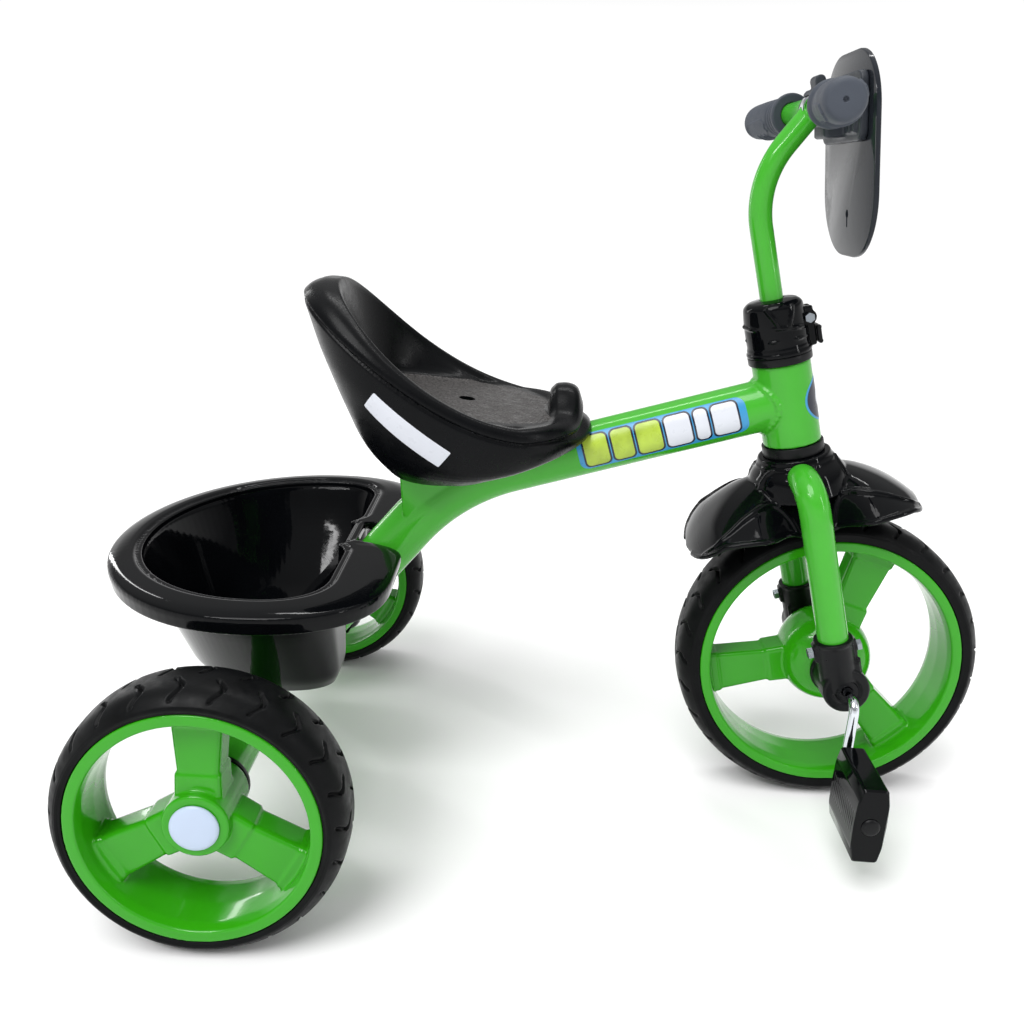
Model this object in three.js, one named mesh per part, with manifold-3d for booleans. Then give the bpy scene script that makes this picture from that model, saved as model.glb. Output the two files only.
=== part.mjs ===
// Children's tricycle: curved tube frame, bucket seat, rear basket, two free rear wheels, and a
// front wheel driven by a one-piece crank, in a fork that turns under a swept handlebar.
// Millimetres. +X is forward, +Y is the rider's left, +Z is up.
import * as THREE from 'three';
import { mergeVertices } from 'three/addons/utils/BufferGeometryUtils.js';
import Module from 'manifold-3d';

const wasm = await Module();
wasm.setup();

// ---------------------------------------------------------------- driving dimensions

const GAP = 0.3; // air between pieces that touch
const RUN = 0.5; // running clearance round a turning rod or hub

const FRONT_R = 125;
const REAR_R = 98.5;
const WHEELBASE = 464;
const TRACK = 396;
const WHEEL_WIDTH = 49;
const RAKE = THREE.MathUtils.degToRad(13.1);

const FRONT_RIM_R = 108;
const REAR_RIM_R = 84;
const RIM_LIP = 3.7;
const WHEEL_SIDES = 32;
const FRONT_SPOKE = THREE.MathUtils.degToRad(191); // direction of its first spoke
const REAR_SPOKE = THREE.MathUtils.degToRad(88.5);

const TUBE_R = 21; // main tube
const TUBE_WALL = 1.8;
const TUBE_DROP = THREE.MathUtils.degToRad(15.8); // slope of its front run
const TUBE_FALL = THREE.MathUtils.degToRad(49.5); // slope of its rear run
const TUBE_BEND_R = 170;
const TUBE_BEND_X = 195; // where the bend starts, ahead of the rear axle
const TUBE_BEND_Z = 282.3;

const HEAD_R = 23;
const HEAD_BORE_R = 19.5;
const HEAD_LOW = 190.3; // along the steering axis, from the front axle
const HEAD_TOP = 257;

const AXLE_TUBE_R = 16;
const AXLE_TUBE_BORE_R = 13.5;
const AXLE_TUBE_HALF = 168;
const AXLE_ROD_R = 5;

const LEG_R = 12; // fork leg
const LEG_HALF_SPAN = 56;
const LEG_BACK = -2.5; // the legs lie a little behind the steering axis
const LEG_LOW = 18;
const CROWN_Z = 167;
const CROWN_BEND_R = 26;
const STEERER_R = 12.7;
const STEERER_BORE_R = 9.6;
const STEERER_TOP = 292;

const BAR_R = 9;
const STEM_LOW = 236;
const STEM_BEND_START = 362;
const STEM_BEND_R = 75;
const STEM_LEAN = THREE.MathUtils.degToRad(50);
const BAR_CENTRE = new THREE.Vector3(51.5, 0, 440);
const BAR_ELBOW = new THREE.Vector3(51.5, 33, 440);
const BAR_END = new THREE.Vector3(37, 118, 440);

const CRANK_R = 3.9;
const CRANK_LENGTH = 60;
const CRANK_ARM_Y = 88;
const CRANK_TILT = THREE.MathUtils.degToRad(2.9);
const PEDAL_IN_Y = 97;
const PEDAL_OUT_Y = 152;
const PEDAL_HALF_HEIGHT = 30;
const PEDAL_HALF_THICK = 12;

const HUB_END_Y = 31; // front hub
const BRACKET_IN_Y = 33;
const BRACKET_OUT_Y = 68;
const BRACKET_R = 18.5;

const BASKET_RIM_Z = 223;
const BASKET_FLOOR_Z = 120;
const BASKET_BACK_X = -127;
const BASKET_HALF_WIDTH = 163;
const BASKET_WALL = 3;
const CHANNEL_HALF = 22.5; // the slot in the basket's front for the main tube

const SEAT_PLATE_Z = 331; // top of the welded seat bracket
const SEAT_MID_X = 150;
const SEAT_HALF_LENGTH = 100;
const SEAT_HALF_WIDTH = 88;
const DRAIN_R = 6.5;
const DRAIN_X = 158;

const X_MIN = BASKET_BACK_X;
const X_MAX = WHEELBASE + FRONT_R;
const ORIGIN_X = (X_MIN + X_MAX) / 2;

// ---------------------------------------------------------------- materials

const finish = (color, roughness, metalness) => new THREE.MeshStandardMaterial({ color, roughness, metalness });
const paint = finish(0x5cc450, 0.25, 0.1);
const greenPlastic = finish(0x35ad24, 0.35, 0);
const blackGloss = finish(0x0b0c0e, 0.2, 0);
const blackPlastic = finish(0x141518, 0.5, 0);
const rubber = finish(0x1c1e20, 0.8, 0);
const greyGrip = finish(0x4a4f55, 0.7, 0);
const chrome = finish(0xc8ccd0, 0.15, 1);
const steel = finish(0x8c9094, 0.35, 1);
const nylon = finish(0xdedfe0, 0.5, 0);
const smoked = finish(0x23272b, 0.1, 0);

// ---------------------------------------------------------------- geometry helpers

// One closed body with shared vertices and outward faces.
function closed(geometry) {
  const bare = geometry.clone();
  bare.deleteAttribute('normal');
  bare.deleteAttribute('uv');
  const merged = mergeVertices(bare, 1e-4);
  const source = merged.index.array;
  const position = merged.attributes.position;
  const a = new THREE.Vector3();
  const b = new THREE.Vector3();
  const c = new THREE.Vector3();
  const kept = [];
  let volume = 0;
  for (let i = 0; i < source.length; i += 3) {
    const [p, q, r] = [source[i], source[i + 1], source[i + 2]];
    if (p === q || q === r || r === p) continue;
    kept.push(p, q, r);
    a.fromBufferAttribute(position, p);
    b.fromBufferAttribute(position, q);
    c.fromBufferAttribute(position, r);
    volume += a.dot(b.cross(c));
  }
  if (volume < 0) kept.reverse();
  merged.setIndex(kept);
  return merged;
}

function solid(geometry) {
  const body = closed(geometry);
  return new wasm.Manifold(new wasm.Mesh({
    numProp: 3,
    vertProperties: new Float32Array(body.attributes.position.array),
    triVerts: new Uint32Array(body.index.array),
  }));
}

const join = (first, ...rest) => rest.reduce((sum, g) => sum.add(solid(g)), solid(first));
const cut = (body, ...tools) => tools.reduce((left, g) => left.subtract(solid(g)), body);

function fromSolid(body) {
  const mesh = body.simplify(0.01).getMesh();
  const geometry = new THREE.BufferGeometry();
  geometry.setAttribute('position', new THREE.BufferAttribute(new Float32Array(mesh.vertProperties), 3));
  geometry.setIndex(new THREE.BufferAttribute(new Uint32Array(mesh.triVerts), 1));
  return geometry;
}

// A profile of [radius, height] pairs turned about Y, with a flat facing each axis.
function turned(profile, sides = 20) {
  const points = profile.map(([r, y]) => new THREE.Vector2(r, y));
  if (profile[0][0] > 0) points.push(points[0].clone());
  return new THREE.LatheGeometry(points, sides, Math.PI / sides);
}

const turnedAboutZ = (profile, sides) => turned(profile, sides).rotateX(Math.PI / 2);

// Round bar or pipe between two heights, about Y.
function rod(radius, low, high, bore = 0, sides = 20) {
  if (bore > 0) return turned([[bore, low], [radius, low], [radius, high], [bore, high]], sides);
  return turned([[0, low], [radius, low], [radius, high], [0, high]], sides);
}

const rodZ = (...args) => rod(...args).rotateX(Math.PI / 2);
const rodX = (...args) => rod(...args).rotateZ(-Math.PI / 2);

function box(x0, x1, y0, y1, z0, z1) {
  const geometry = new THREE.BoxGeometry(x1 - x0, y1 - y0, z1 - z0);
  return geometry.translate((x0 + x1) / 2, (y0 + y1) / 2, (z0 + z1) / 2);
}

// Flat outline in X and Z, given thickness between two Y values.
function slabXZ(points, y0, y1) {
  const shape = new THREE.Shape(points.map(([x, z]) => new THREE.Vector2(x, z)));
  const geometry = new THREE.ExtrudeGeometry(shape, { depth: y1 - y0, bevelEnabled: false, curveSegments: 8 });
  return geometry.rotateX(Math.PI / 2).translate(0, y1, 0);
}

// Polyline with rounded corners, as a curve.
function rounded(points, radius) {
  const path = new THREE.CurvePath();
  let from = points[0];
  for (let i = 1; i < points.length - 1; i += 1) {
    const corner = points[i];
    const back = points[i - 1].clone().sub(corner).setLength(radius).add(corner);
    const ahead = points[i + 1].clone().sub(corner).setLength(radius).add(corner);
    path.add(new THREE.LineCurve3(from, back));
    path.add(new THREE.QuadraticBezierCurve3(back, corner, ahead));
    from = ahead;
  }
  path.add(new THREE.LineCurve3(from, points[points.length - 1]));
  return path;
}

// Round bar along a curve.
function swept(path, radius, sides, steps) {
  const ring = Array.from({ length: sides }, (_, i) => {
    const angle = (2 * Math.PI * (i + 0.5)) / sides;
    return new THREE.Vector2(radius * Math.cos(angle), radius * Math.sin(angle));
  });
  return new THREE.ExtrudeGeometry(new THREE.Shape(ring), { steps, extrudePath: path });
}

// Skin over rings of equal length, closed at both ends with a fan from the middle.
function loft(rings) {
  const count = rings[0].length;
  const vertices = rings.flat().flatMap((p) => [p.x, p.y, p.z]);
  const index = [];
  for (let k = 0; k + 1 < rings.length; k += 1) {
    for (let i = 0; i < count; i += 1) {
      const j = (i + 1) % count;
      const [a, b] = [k * count + i, k * count + j];
      const [c, d] = [a + count, b + count];
      index.push(a, b, d, a, d, c);
    }
  }
  for (const [k, flip] of [[0, true], [rings.length - 1, false]]) {
    const middle = rings[k].reduce((sum, p) => sum.add(p), new THREE.Vector3()).divideScalar(count);
    const centre = vertices.length / 3;
    vertices.push(middle.x, middle.y, middle.z);
    for (let i = 0; i < count; i += 1) {
      const [a, b] = [k * count + i, k * count + ((i + 1) % count)];
      index.push(...(flip ? [b, a, centre] : [a, b, centre]));
    }
  }
  const geometry = new THREE.BufferGeometry();
  geometry.setAttribute('position', new THREE.Float32BufferAttribute(vertices, 3));
  geometry.setIndex(index);
  return geometry;
}

function piece(name, geometry, material) {
  const mesh = new THREE.Mesh(closed(geometry), material);
  mesh.name = name;
  return mesh;
}

function group(...children) {
  const holder = new THREE.Group();
  holder.add(...children);
  return holder;
}

const SIDES = [['left', 1], ['right', -1]];
const mirrored = (geometry, side) => (side > 0 ? geometry : geometry.clone().scale(1, -1, 1));

// Hexagon head, or a nut when there is a bore, about Y.
function hexagon(acrossFlats, low, high, bore = 0) {
  const corner = acrossFlats / Math.sqrt(3);
  const head = new THREE.CylinderGeometry(corner, corner, high - low, 6).translate(0, (low + high) / 2, 0);
  return bore > 0 ? fromSolid(cut(solid(head), rod(bore, low - 1, high + 1, 0, 12))) : head;
}

function bolt(shankR, acrossFlats, headHeight, length) {
  const shank = rod(shankR, -0.01, length, 0, 10);
  return fromSolid(join(hexagon(acrossFlats, -headHeight, 0), shank));
}

// ---------------------------------------------------------------- frame

const tubeHeightAt = (x) => TUBE_BEND_Z + Math.tan(TUBE_DROP) * (x - TUBE_BEND_X);

// The main tube's centre line, from the head tube back to the rear axle.
function mainTubePath() {
  const bendStart = new THREE.Vector3(TUBE_BEND_X, 0, tubeHeightAt(TUBE_BEND_X));
  const centre = bendStart.clone().add(
    new THREE.Vector3(Math.sin(TUBE_DROP), 0, -Math.cos(TUBE_DROP)).multiplyScalar(TUBE_BEND_R));
  const onBend = (angle) => centre.clone().add(
    new THREE.Vector3(-Math.sin(angle), 0, Math.cos(angle)).multiplyScalar(TUBE_BEND_R));
  const corner = (a, b) => {
    const reach = TUBE_BEND_R * Math.tan((b - a) / 2);
    return onBend(a).add(new THREE.Vector3(-Math.cos(a), 0, -Math.sin(a)).multiplyScalar(reach));
  };
  const middle = (TUBE_DROP + TUBE_FALL) / 2;
  const headX = WHEELBASE - 222 * Math.sin(RAKE);
  const path = new THREE.CurvePath();
  path.add(new THREE.LineCurve3(new THREE.Vector3(headX, 0, tubeHeightAt(headX)), bendStart));
  path.add(new THREE.QuadraticBezierCurve3(bendStart, corner(TUBE_DROP, middle), onBend(middle)));
  path.add(new THREE.QuadraticBezierCurve3(onBend(middle), corner(middle, TUBE_FALL), onBend(TUBE_FALL)));
  path.add(new THREE.LineCurve3(onBend(TUBE_FALL), new THREE.Vector3(0, 0, REAR_R)));
  return path;
}

// Places a geometry that is drawn along the steering axis.
function alongSteering(geometry) {
  return geometry.rotateY(-RAKE).translate(WHEELBASE, 0, FRONT_R);
}

// Bent plate bridge that carries the seat: two cheeks down to the tube and a flat top.
function seatBridge() {
  const thick = 3;
  const half = 19;
  const [back, front] = [106, 206];
  const cheek = [[back + 2, tubeHeightAt(115) - 18], [front, tubeHeightAt(front)], [front, SEAT_PLATE_Z - 1],
    [back - 4, SEAT_PLATE_Z - 1]];
  return [
    slabXZ(cheek, half - thick, half),
    slabXZ(cheek, -half, thick - half),
    box(back - 4, front, -half, half, SEAT_PLATE_Z - thick, SEAT_PLATE_Z),
  ];
}

const BASKET_TAB_Y = 46;
const BASKET_TAB_Z = BASKET_FLOOR_Z - BASKET_WALL - GAP;
const SEAT_BOLT_X = [128, 184];

function frame() {
  const path = mainTubePath();
  const head = alongSteering(rodZ(HEAD_R, HEAD_LOW, HEAD_TOP, 0, 24));
  const axleTube = rod(AXLE_TUBE_R, -AXLE_TUBE_HALF, AXLE_TUBE_HALF, 0, 20).translate(0, 0, REAR_R);
  const tabs = SIDES.map(([, side]) => {
    const y = side * BASKET_TAB_Y;
    return box(-14, 14, y - 9, y + 9, REAR_R + 8, BASKET_TAB_Z);
  });
  let body = join(swept(path, TUBE_R, 20, 20), head, axleTube, ...seatBridge(), ...tabs);
  const hollow = solid(swept(path, TUBE_R - TUBE_WALL, 12, 20))
    .subtract(solid(alongSteering(rodZ(HEAD_R, HEAD_LOW - 5, HEAD_TOP + 5, 0, 24))))
    .subtract(solid(rod(AXLE_TUBE_R + 10, -40, 40, 0, 20).translate(0, 0, REAR_R)));
  body = body.subtract(hollow);
  return fromSolid(cut(body,
    alongSteering(rodZ(HEAD_BORE_R, HEAD_LOW - 5, HEAD_TOP + 5, 0, 20)),
    rod(AXLE_TUBE_BORE_R, -AXLE_TUBE_HALF - 5, AXLE_TUBE_HALF + 5, 0, 20).translate(0, 0, REAR_R),
    rodZ(3, 180, tubeHeightAt(230), 0, 10).translate(230, 0, 0),
    ...SEAT_BOLT_X.map((x) => rodZ(3.2, 315, SEAT_PLATE_Z + 5, 0, 10).translate(x, 0, 0)),
    ...SIDES.map(([, side]) => rodZ(2.2, 104, 130, 0, 10).translate(0, side * BASKET_TAB_Y, 0))));
}

// ---------------------------------------------------------------- seat

// Height of the seat's rolled rim: a tall back that sweeps down to a low front.
function seatRimZ(x) {
  const back = Math.max(0, 205 - Math.max(x, SEAT_MID_X - SEAT_HALF_LENGTH));
  return 333 + 0.16 * back + 0.00312 * back * back;
}

const seatFloorZ = (x) => 338 - 0.125 * (x - 159) + 0.0009 * Math.max(0, 110 - x) ** 2;

// Ring round the seat, grown from its rim outline, leaned out at the back and tucked in at the front.
function seatRing(grow, height, lean = 0, tuck = 0) {
  const count = 32;
  const power = 2 / 2.5;
  return Array.from({ length: count }, (_, i) => {
    const c = Math.cos((2 * Math.PI * i) / count);
    const s = Math.sin((2 * Math.PI * i) / count);
    const reach = Math.sign(c) * Math.abs(c) ** power * (SEAT_HALF_LENGTH + grow);
    const x = SEAT_MID_X + reach - lean * Math.max(0, -c) ** 2 - tuck * Math.max(0, c) ** 6;
    const y = Math.sign(s) * Math.abs(s) ** power * (SEAT_HALF_WIDTH + grow);
    return new THREE.Vector3(x, y, height(x, y));
  });
}

// The skirt's lower edge sits further in than the rim and rises to the front and the back.
function seatHem(grow) {
  const hemZ = (x) => {
    const along = (x - SEAT_MID_X) / SEAT_HALF_LENGTH;
    return 283 + 34 * Math.max(0, along - 0.05) ** 1.5 + 26 * Math.max(0, -along - 0.1) ** 2;
  };
  return seatRing(-24 + grow, hemZ, -26, -22);
}

// Part way down the skirt, with a slight belly.
function between(upper, lower, share, belly) {
  return upper.map((p, i) => {
    const point = p.clone().lerp(lower[i], share);
    const out = new THREE.Vector3(point.x - SEAT_MID_X, point.y, 0).setLength(belly * 4 * share * (1 - share));
    return point.add(out);
  });
}

function seat() {
  const rim = (drop) => (x) => seatRimZ(x) - drop;
  const floor = (drop) => (x) => seatFloorZ(x) - drop;
  const horn = (x, y) => 20 * Math.exp(-((y / 24) ** 2)) * Math.min(1, Math.max(0, (x - 212) / 22));
  const crest = (drop) => (x, y) => seatRimZ(x) + horn(x, y) - drop;
  const outer = seatRing(1, rim(17), 16, 0);
  const hem = seatHem(0);
  const rings = [
    seatRing(-60, floor(0)),
    seatRing(-22, floor(0), 0, 2),
    seatRing(-11, (x, y) => Math.max(crest(4)(x, y), seatFloorZ(x)), 0, 13),
    seatRing(-5, crest(0), 0, 9),
    seatRing(0, crest(5), 11, 3),
    outer,
    between(outer, hem, 0.33, 7),
    between(outer, hem, 0.68, 7),
    hem,
    seatHem(-4),
    between(seatRing(-3.5, rim(17), 14), seatHem(-4), 0.5, 6),
    seatRing(-3.5, rim(15), 14),
    seatRing(-7.5, rim(13), 2, 5),
    seatRing(-18, floor(4)),
    seatRing(-60, floor(4)),
  ];
  const bosses = SEAT_BOLT_X.map((x) => rodZ(9, SEAT_PLATE_Z + GAP, seatFloorZ(x) - 1, 0, 14).translate(x, 0, 0));
  const tubeRoom = swept(mainTubePath(), TUBE_R + 1.5, 16, 26);
  const boltRoom = SEAT_BOLT_X.map((x) => rodZ(2.9, SEAT_PLATE_Z - 2, seatFloorZ(x) - 1.5, 0, 10).translate(x, 0, 0));
  const bridgeRoom = box(100, 208, -20, 20, 320, SEAT_PLATE_Z + GAP);
  const drain = rodZ(DRAIN_R, 320, 350, 0, 16).translate(DRAIN_X, 0, 0);
  return fromSolid(cut(join(loft(rings), ...bosses), tubeRoom, bridgeRoom, drain, ...boltRoom));
}

// ---------------------------------------------------------------- basket

const arc = (count, from, to, make) => Array.from({ length: count }, (_, i) => (
  make(from + ((to - from) * i) / count)));

// Half outline from the back round to the front centre, mirrored. The front may be notched.
function basketRing(z, back, half, front, cornerX, notchX) {
  const midX = 18;
  const quarter = arc(7, 0, Math.PI / 2, (a) => [midX - (midX - back) * Math.cos(a), half * Math.sin(a)]);
  const shoulder = arc(4, 0, Math.PI / 2, (a) => [
    midX + (front - midX) * Math.sin(a) ** 0.85,
    cornerX + (half - cornerX) * Math.cos(a) ** 0.85,
  ]);
  const edge = [[front, cornerX], [front, CHANNEL_HALF + 9], [front - 3, CHANNEL_HALF + 2.5],
    [(front + notchX) / 2, CHANNEL_HALF], [notchX, CHANNEL_HALF - 2], [notchX, 8]];
  const side = [...quarter, ...shoulder, ...edge];
  const other = side.slice(1).reverse().map(([x, y]) => [x, -y]);
  return [...side, ...other].map(([x, y]) => new THREE.Vector3(x, y, z));
}

// Space under and ahead of the main tube's upper face, between two Y values.
function tubeChannel(room, half) {
  const slope = Math.tan(TUBE_FALL);
  const reach = (TUBE_R + room) / Math.sin(TUBE_FALL);
  const at = (z) => (z - REAR_R) / slope - reach;
  return slabXZ([[at(80), 80], [260, 80], [260, 240], [at(240), 240]], -half, half);
}

function basket() {
  const rim = [
    basketRing(BASKET_RIM_Z - 3, BASKET_BACK_X + 23, 137, 68, 96, 64),
    basketRing(BASKET_RIM_Z, BASKET_BACK_X + 17, 143, 74, 94, 66),
    basketRing(BASKET_RIM_Z, BASKET_BACK_X + 3, BASKET_HALF_WIDTH - 3, 108, 84, 71),
    basketRing(BASKET_RIM_Z - 3, BASKET_BACK_X, BASKET_HALF_WIDTH, 111, 84, 70),
    basketRing(BASKET_RIM_Z - 15, BASKET_BACK_X + 2, BASKET_HALF_WIDTH - 2, 109, 84, 70),
    basketRing(BASKET_RIM_Z - 15, BASKET_BACK_X + 5, BASKET_HALF_WIDTH - 5, 106, 84, 69),
    basketRing(BASKET_RIM_Z - 4, BASKET_BACK_X + 8, BASKET_HALF_WIDTH - 8, 103, 84, 68),
    basketRing(BASKET_RIM_Z - 7, BASKET_BACK_X + 20, 140, 70, 96, 62),
  ];
  const bowl = (grow, low) => loft([
    basketRing(BASKET_RIM_Z - 2 + grow, BASKET_BACK_X + 23 - grow, 137 + grow, 68 + grow, 96, 64 + grow),
    basketRing(190, -93 - grow, 125 + grow, 66 + grow, 86, 62 + grow),
    basketRing(low + 12, -72 - grow, 88 + grow, 64 + grow, 66, 57 + grow),
    basketRing(low, -62 - grow, 78 + grow, 59 + grow, 56, 50 + grow),
  ]);
  const outer = solid(bowl(0, BASKET_FLOOR_Z - BASKET_WALL));
  const rimSolid = solid(loft([...rim, rim[0]].slice(0, 8)));
  const cavity = solid(bowl(-BASKET_WALL, BASKET_FLOOR_Z)).subtract(solid(tubeChannel(1.5 + BASKET_WALL, 25.5)));
  const mouth = solid(loft([
    basketRing(BASKET_RIM_Z + 5, BASKET_BACK_X + 26, 134, 65, 93, 61),
    basketRing(BASKET_RIM_Z - 8, BASKET_BACK_X + 26, 134, 65, 93, 61),
  ])).subtract(solid(tubeChannel(1.5 + BASKET_WALL, 25.5)));
  const screwHoles = SIDES.map(([, side]) => rodZ(2.2, 110, 130, 0, 10).translate(0, side * BASKET_TAB_Y, 0));
  const body = outer.add(rimSolid).subtract(cavity).subtract(mouth);
  return fromSolid(cut(body, tubeChannel(1.5, CHANNEL_HALF), ...screwHoles));
}

// ---------------------------------------------------------------- wheels

// Foam tyre: flat crown, round shoulders, seated between the rim's lips.
function tyre(outer, rimR) {
  const half = WHEEL_WIDTH / 2;
  const facet = 1 / Math.cos(Math.PI / WHEEL_SIDES);
  const seatR = rimR - 5.5 + GAP;
  const right = [[outer, half * 0.4], [outer - 2.5, half * 0.75], [outer - 9.5, half],
    [rimR + GAP, half], [rimR + GAP, half - RIM_LIP - GAP], [seatR, half - RIM_LIP - GAP]];
  const left = [...right].reverse().map(([r, y]) => [r, -y]);
  return turned([...right, ...left].map(([r, y]) => [r * facet, y]), WHEEL_SIDES);
}

// Barrel with a lip on each side.
function rimBarrel(rimR) {
  const half = WHEEL_WIDTH / 2;
  const facet = 1 / Math.cos(Math.PI / WHEEL_SIDES);
  const right = [[rimR - 5.5, half - RIM_LIP], [rimR, half - RIM_LIP], [rimR, half], [rimR - 8, half],
    [rimR - 9.5, half - 6]];
  const left = [...right].reverse().map(([r, y]) => [r, -y]);
  return turned([...right, ...left].map(([r, y]) => [r * facet, y]), WHEEL_SIDES);
}

// Boxy spoke that widens to the rim, with a raised collar at each end.
function spoke(innerR, outerR, angle, halfThick) {
  const [narrow, wide] = [14, 17];
  const blade = (r0, r1, w0, w1, thick) => slabXZ([[r0, -w0], [r1, -w1], [r1, w1], [r0, w0]], -thick, thick);
  const length = outerR - innerR;
  return [
    blade(innerR - 12, outerR + 3, narrow, wide, halfThick),
    blade(innerR - 8, innerR + length * 0.16, narrow + 2, narrow + 2, halfThick + 2),
    blade(outerR - length * 0.12, outerR + 3, wide + 2, wide + 2, halfThick + 2),
  ].map((g) => g.rotateY(-angle));
}

function wheelRim(rimR, hub, hubR, bore, firstSpoke) {
  const angles = [0, 1, 2].map((i) => firstSpoke + (i * 2 * Math.PI) / 3);
  const spokes = join(...angles.flatMap((angle) => spoke(hubR, rimR - 9.5, angle, 11)))
    .intersect(solid(rod(rimR - 7.5, -20, 20, 0, WHEEL_SIDES)));
  return cut(join(rimBarrel(rimR), turned(hub)).add(spokes), ...bore);
}

function frontRim() {
  const hub = [[0, -HUB_END_Y], [20, -HUB_END_Y], [33, -22], [38, -10], [38, 10], [33, 22], [20, HUB_END_Y],
    [0, HUB_END_Y]];
  return fromSolid(wheelRim(FRONT_RIM_R, hub, 38, [rod(CRANK_R + RUN, -40, 40, 0, 16)],
    FRONT_SPOKE));
}

const REAR_HUB_IN = -25.5; // from the rear wheel's middle plane, toward the frame
const REAR_HUB_OUT = 19;

// Drawn for the left side, with the outer face toward +Y.
function rearRim() {
  const hub = [[0, REAR_HUB_IN], [22.5, REAR_HUB_IN], [22.5, REAR_HUB_OUT], [0, REAR_HUB_OUT]];
  const bores = [rod(AXLE_ROD_R + RUN, -40, 40, 0, 16), rod(12.5, REAR_HUB_OUT - 11, 40, 0, 20)];
  return fromSolid(wheelRim(REAR_RIM_R, hub, 22.5, bores, REAR_SPOKE));
}

// Domed snap-in cap with a short plug, and a hollow that clears the axle nut.
function hubCap() {
  const face = REAR_HUB_OUT + GAP;
  return turned([[0, face + 0.5], [10, face + 0.5], [10, face - 3.5], [12, face - 3.5], [12, face + 0.2],
    [16.3, face + 0.2], [16.3, face + 1.2], [14.5, face + 2.6], [0, face + 3.7]]);
}

function rearWheel(name, side) {
  const wheel = group(
    piece(`rear_tyre_${name}`, tyre(REAR_R, REAR_RIM_R), rubber),
    piece(`rear_rim_${name}`, mirrored(rearRim(), side), greenPlastic),
    piece(`rear_hub_cap_${name}`, mirrored(hubCap(), side), nylon),
    piece(`rear_axle_nut_${name}`, mirrored(hexagon(13, 8.3, 13.5, AXLE_ROD_R + 0.5), side), steel),
  );
  wheel.position.set(0, (side * TRACK) / 2, REAR_R);
  return wheel;
}

// Flanged plastic bush pressed into the end of the axle tube.
function axleBush() {
  const inner = AXLE_TUBE_HALF + GAP;
  return turned([[AXLE_ROD_R + 0.4, inner - 18], [AXLE_TUBE_BORE_R - 0.5, inner - 18],
    [AXLE_TUBE_BORE_R - 0.5, inner], [22, inner], [22, inner + 3.4], [AXLE_ROD_R + 0.4, inner + 3.4]]);
}

// ---------------------------------------------------------------- fork and fender

// Inverted U of tube, seen along the steering axis.
function forkBend(radius, low, sides, steps) {
  const at = (y, z) => new THREE.Vector3(LEG_BACK, y, z);
  const path = rounded([at(-LEG_HALF_SPAN, low), at(-LEG_HALF_SPAN, CROWN_Z), at(LEG_HALF_SPAN, CROWN_Z),
    at(LEG_HALF_SPAN, low)], CROWN_BEND_R);
  return swept(path, radius, sides, steps);
}

const BRACKET_BOLT_Z = 32;

function fork() {
  const outer = join(forkBend(LEG_R, LEG_LOW, 16, 24), rodZ(STEERER_R, CROWN_Z, STEERER_TOP, 0, 20));
  const inner = solid(forkBend(LEG_R - 1.8, LEG_LOW - 3, 8, 24));
  const holes = SIDES.map(([, side]) => rodX(2.8, -40, 40, 0, 10).translate(0, side * LEG_HALF_SPAN, BRACKET_BOLT_Z));
  const bore = rodZ(STEERER_BORE_R, CROWN_Z, STEERER_TOP + 5, 0, 16);
  return fromSolid(cut(outer.subtract(inner), bore, ...holes));
}

const FENDER_BACK = THREE.MathUtils.degToRad(-40);
const FENDER_FRONT = THREE.MathUtils.degToRad(35.5);

// Half width of the fender at an angle from the steering axis: pinched between the fork legs.
function fenderHalfWidth(angle) {
  const away = Math.min(1, Math.max(0, (Math.abs(angle) - 0.12) / 0.2));
  const end = angle < 0 ? angle / FENDER_BACK : angle / FENDER_FRONT;
  return (41 + 21 * away * away * (3 - 2 * away)) * Math.sqrt(Math.max(0.02, 1 - end ** 6));
}

function fenderPoint(angle, across, offset) {
  const half = fenderHalfWidth(angle);
  const crest = 170 - 17 * (angle / 0.7) ** 2;
  const edge = 118 + 34 * Math.min(1, Math.abs(angle) / 0.5);
  const drop = Math.abs(across) ** 2.4;
  const r = crest + (edge - crest) * drop + offset;
  return new THREE.Vector3(r * Math.sin(angle), (half + Math.min(0, offset)) * across, r * Math.cos(angle));
}

function fenderShell() {
  const columns = 8;
  const rows = 14;
  const strip = (angle, offset) => Array.from({ length: columns + 1 }, (_, i) => (
    fenderPoint(angle, (2 * i) / columns - 1, offset)));
  const rings = Array.from({ length: rows + 1 }, (_, k) => {
    const angle = FENDER_BACK + ((FENDER_FRONT - FENDER_BACK) * k) / rows;
    return [...strip(angle, 0), ...strip(angle, -2.6).reverse()];
  });
  return loft(rings);
}

// Boss that carries the fender on the fork crown, under the lower head bush.
function fenderBoss() {
  return turnedAboutZ([[0, 181.3], [28, 181.3], [31, 176], [38, 166], [42, 150], [0, 150]], 24);
}

function fender() {
  const shell = solid(fenderShell());
  const boss = solid(fenderBoss()).subtract(solid(turnedAboutZ([[0, 140], [60, 140], [60, 163], [0, 166]], 24)));
  const forkRoom = solid(forkBend(LEG_R + GAP, LEG_LOW, 16, 24));
  const steererRoom = solid(rodZ(STEERER_R + GAP, 120, 200, 0, 20));
  return fromSolid(shell.add(boss).subtract(forkRoom).subtract(steererRoom));
}

// Lower and upper bushes of the head tube: a flange outside and a sleeve inside.
function headBush(flangeLow, flangeHigh, sleeveLow, sleeveHigh, flangeR) {
  const bore = STEERER_R + RUN;
  const flange = rodZ(flangeR, flangeLow, flangeHigh, 0, 24);
  const sleeve = rodZ(HEAD_BORE_R - RUN, sleeveLow, sleeveHigh, 0, 20);
  return fromSolid(cut(join(flange, sleeve), rodZ(bore, flangeLow - 30, flangeHigh + 30, 0, 20)));
}

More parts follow.
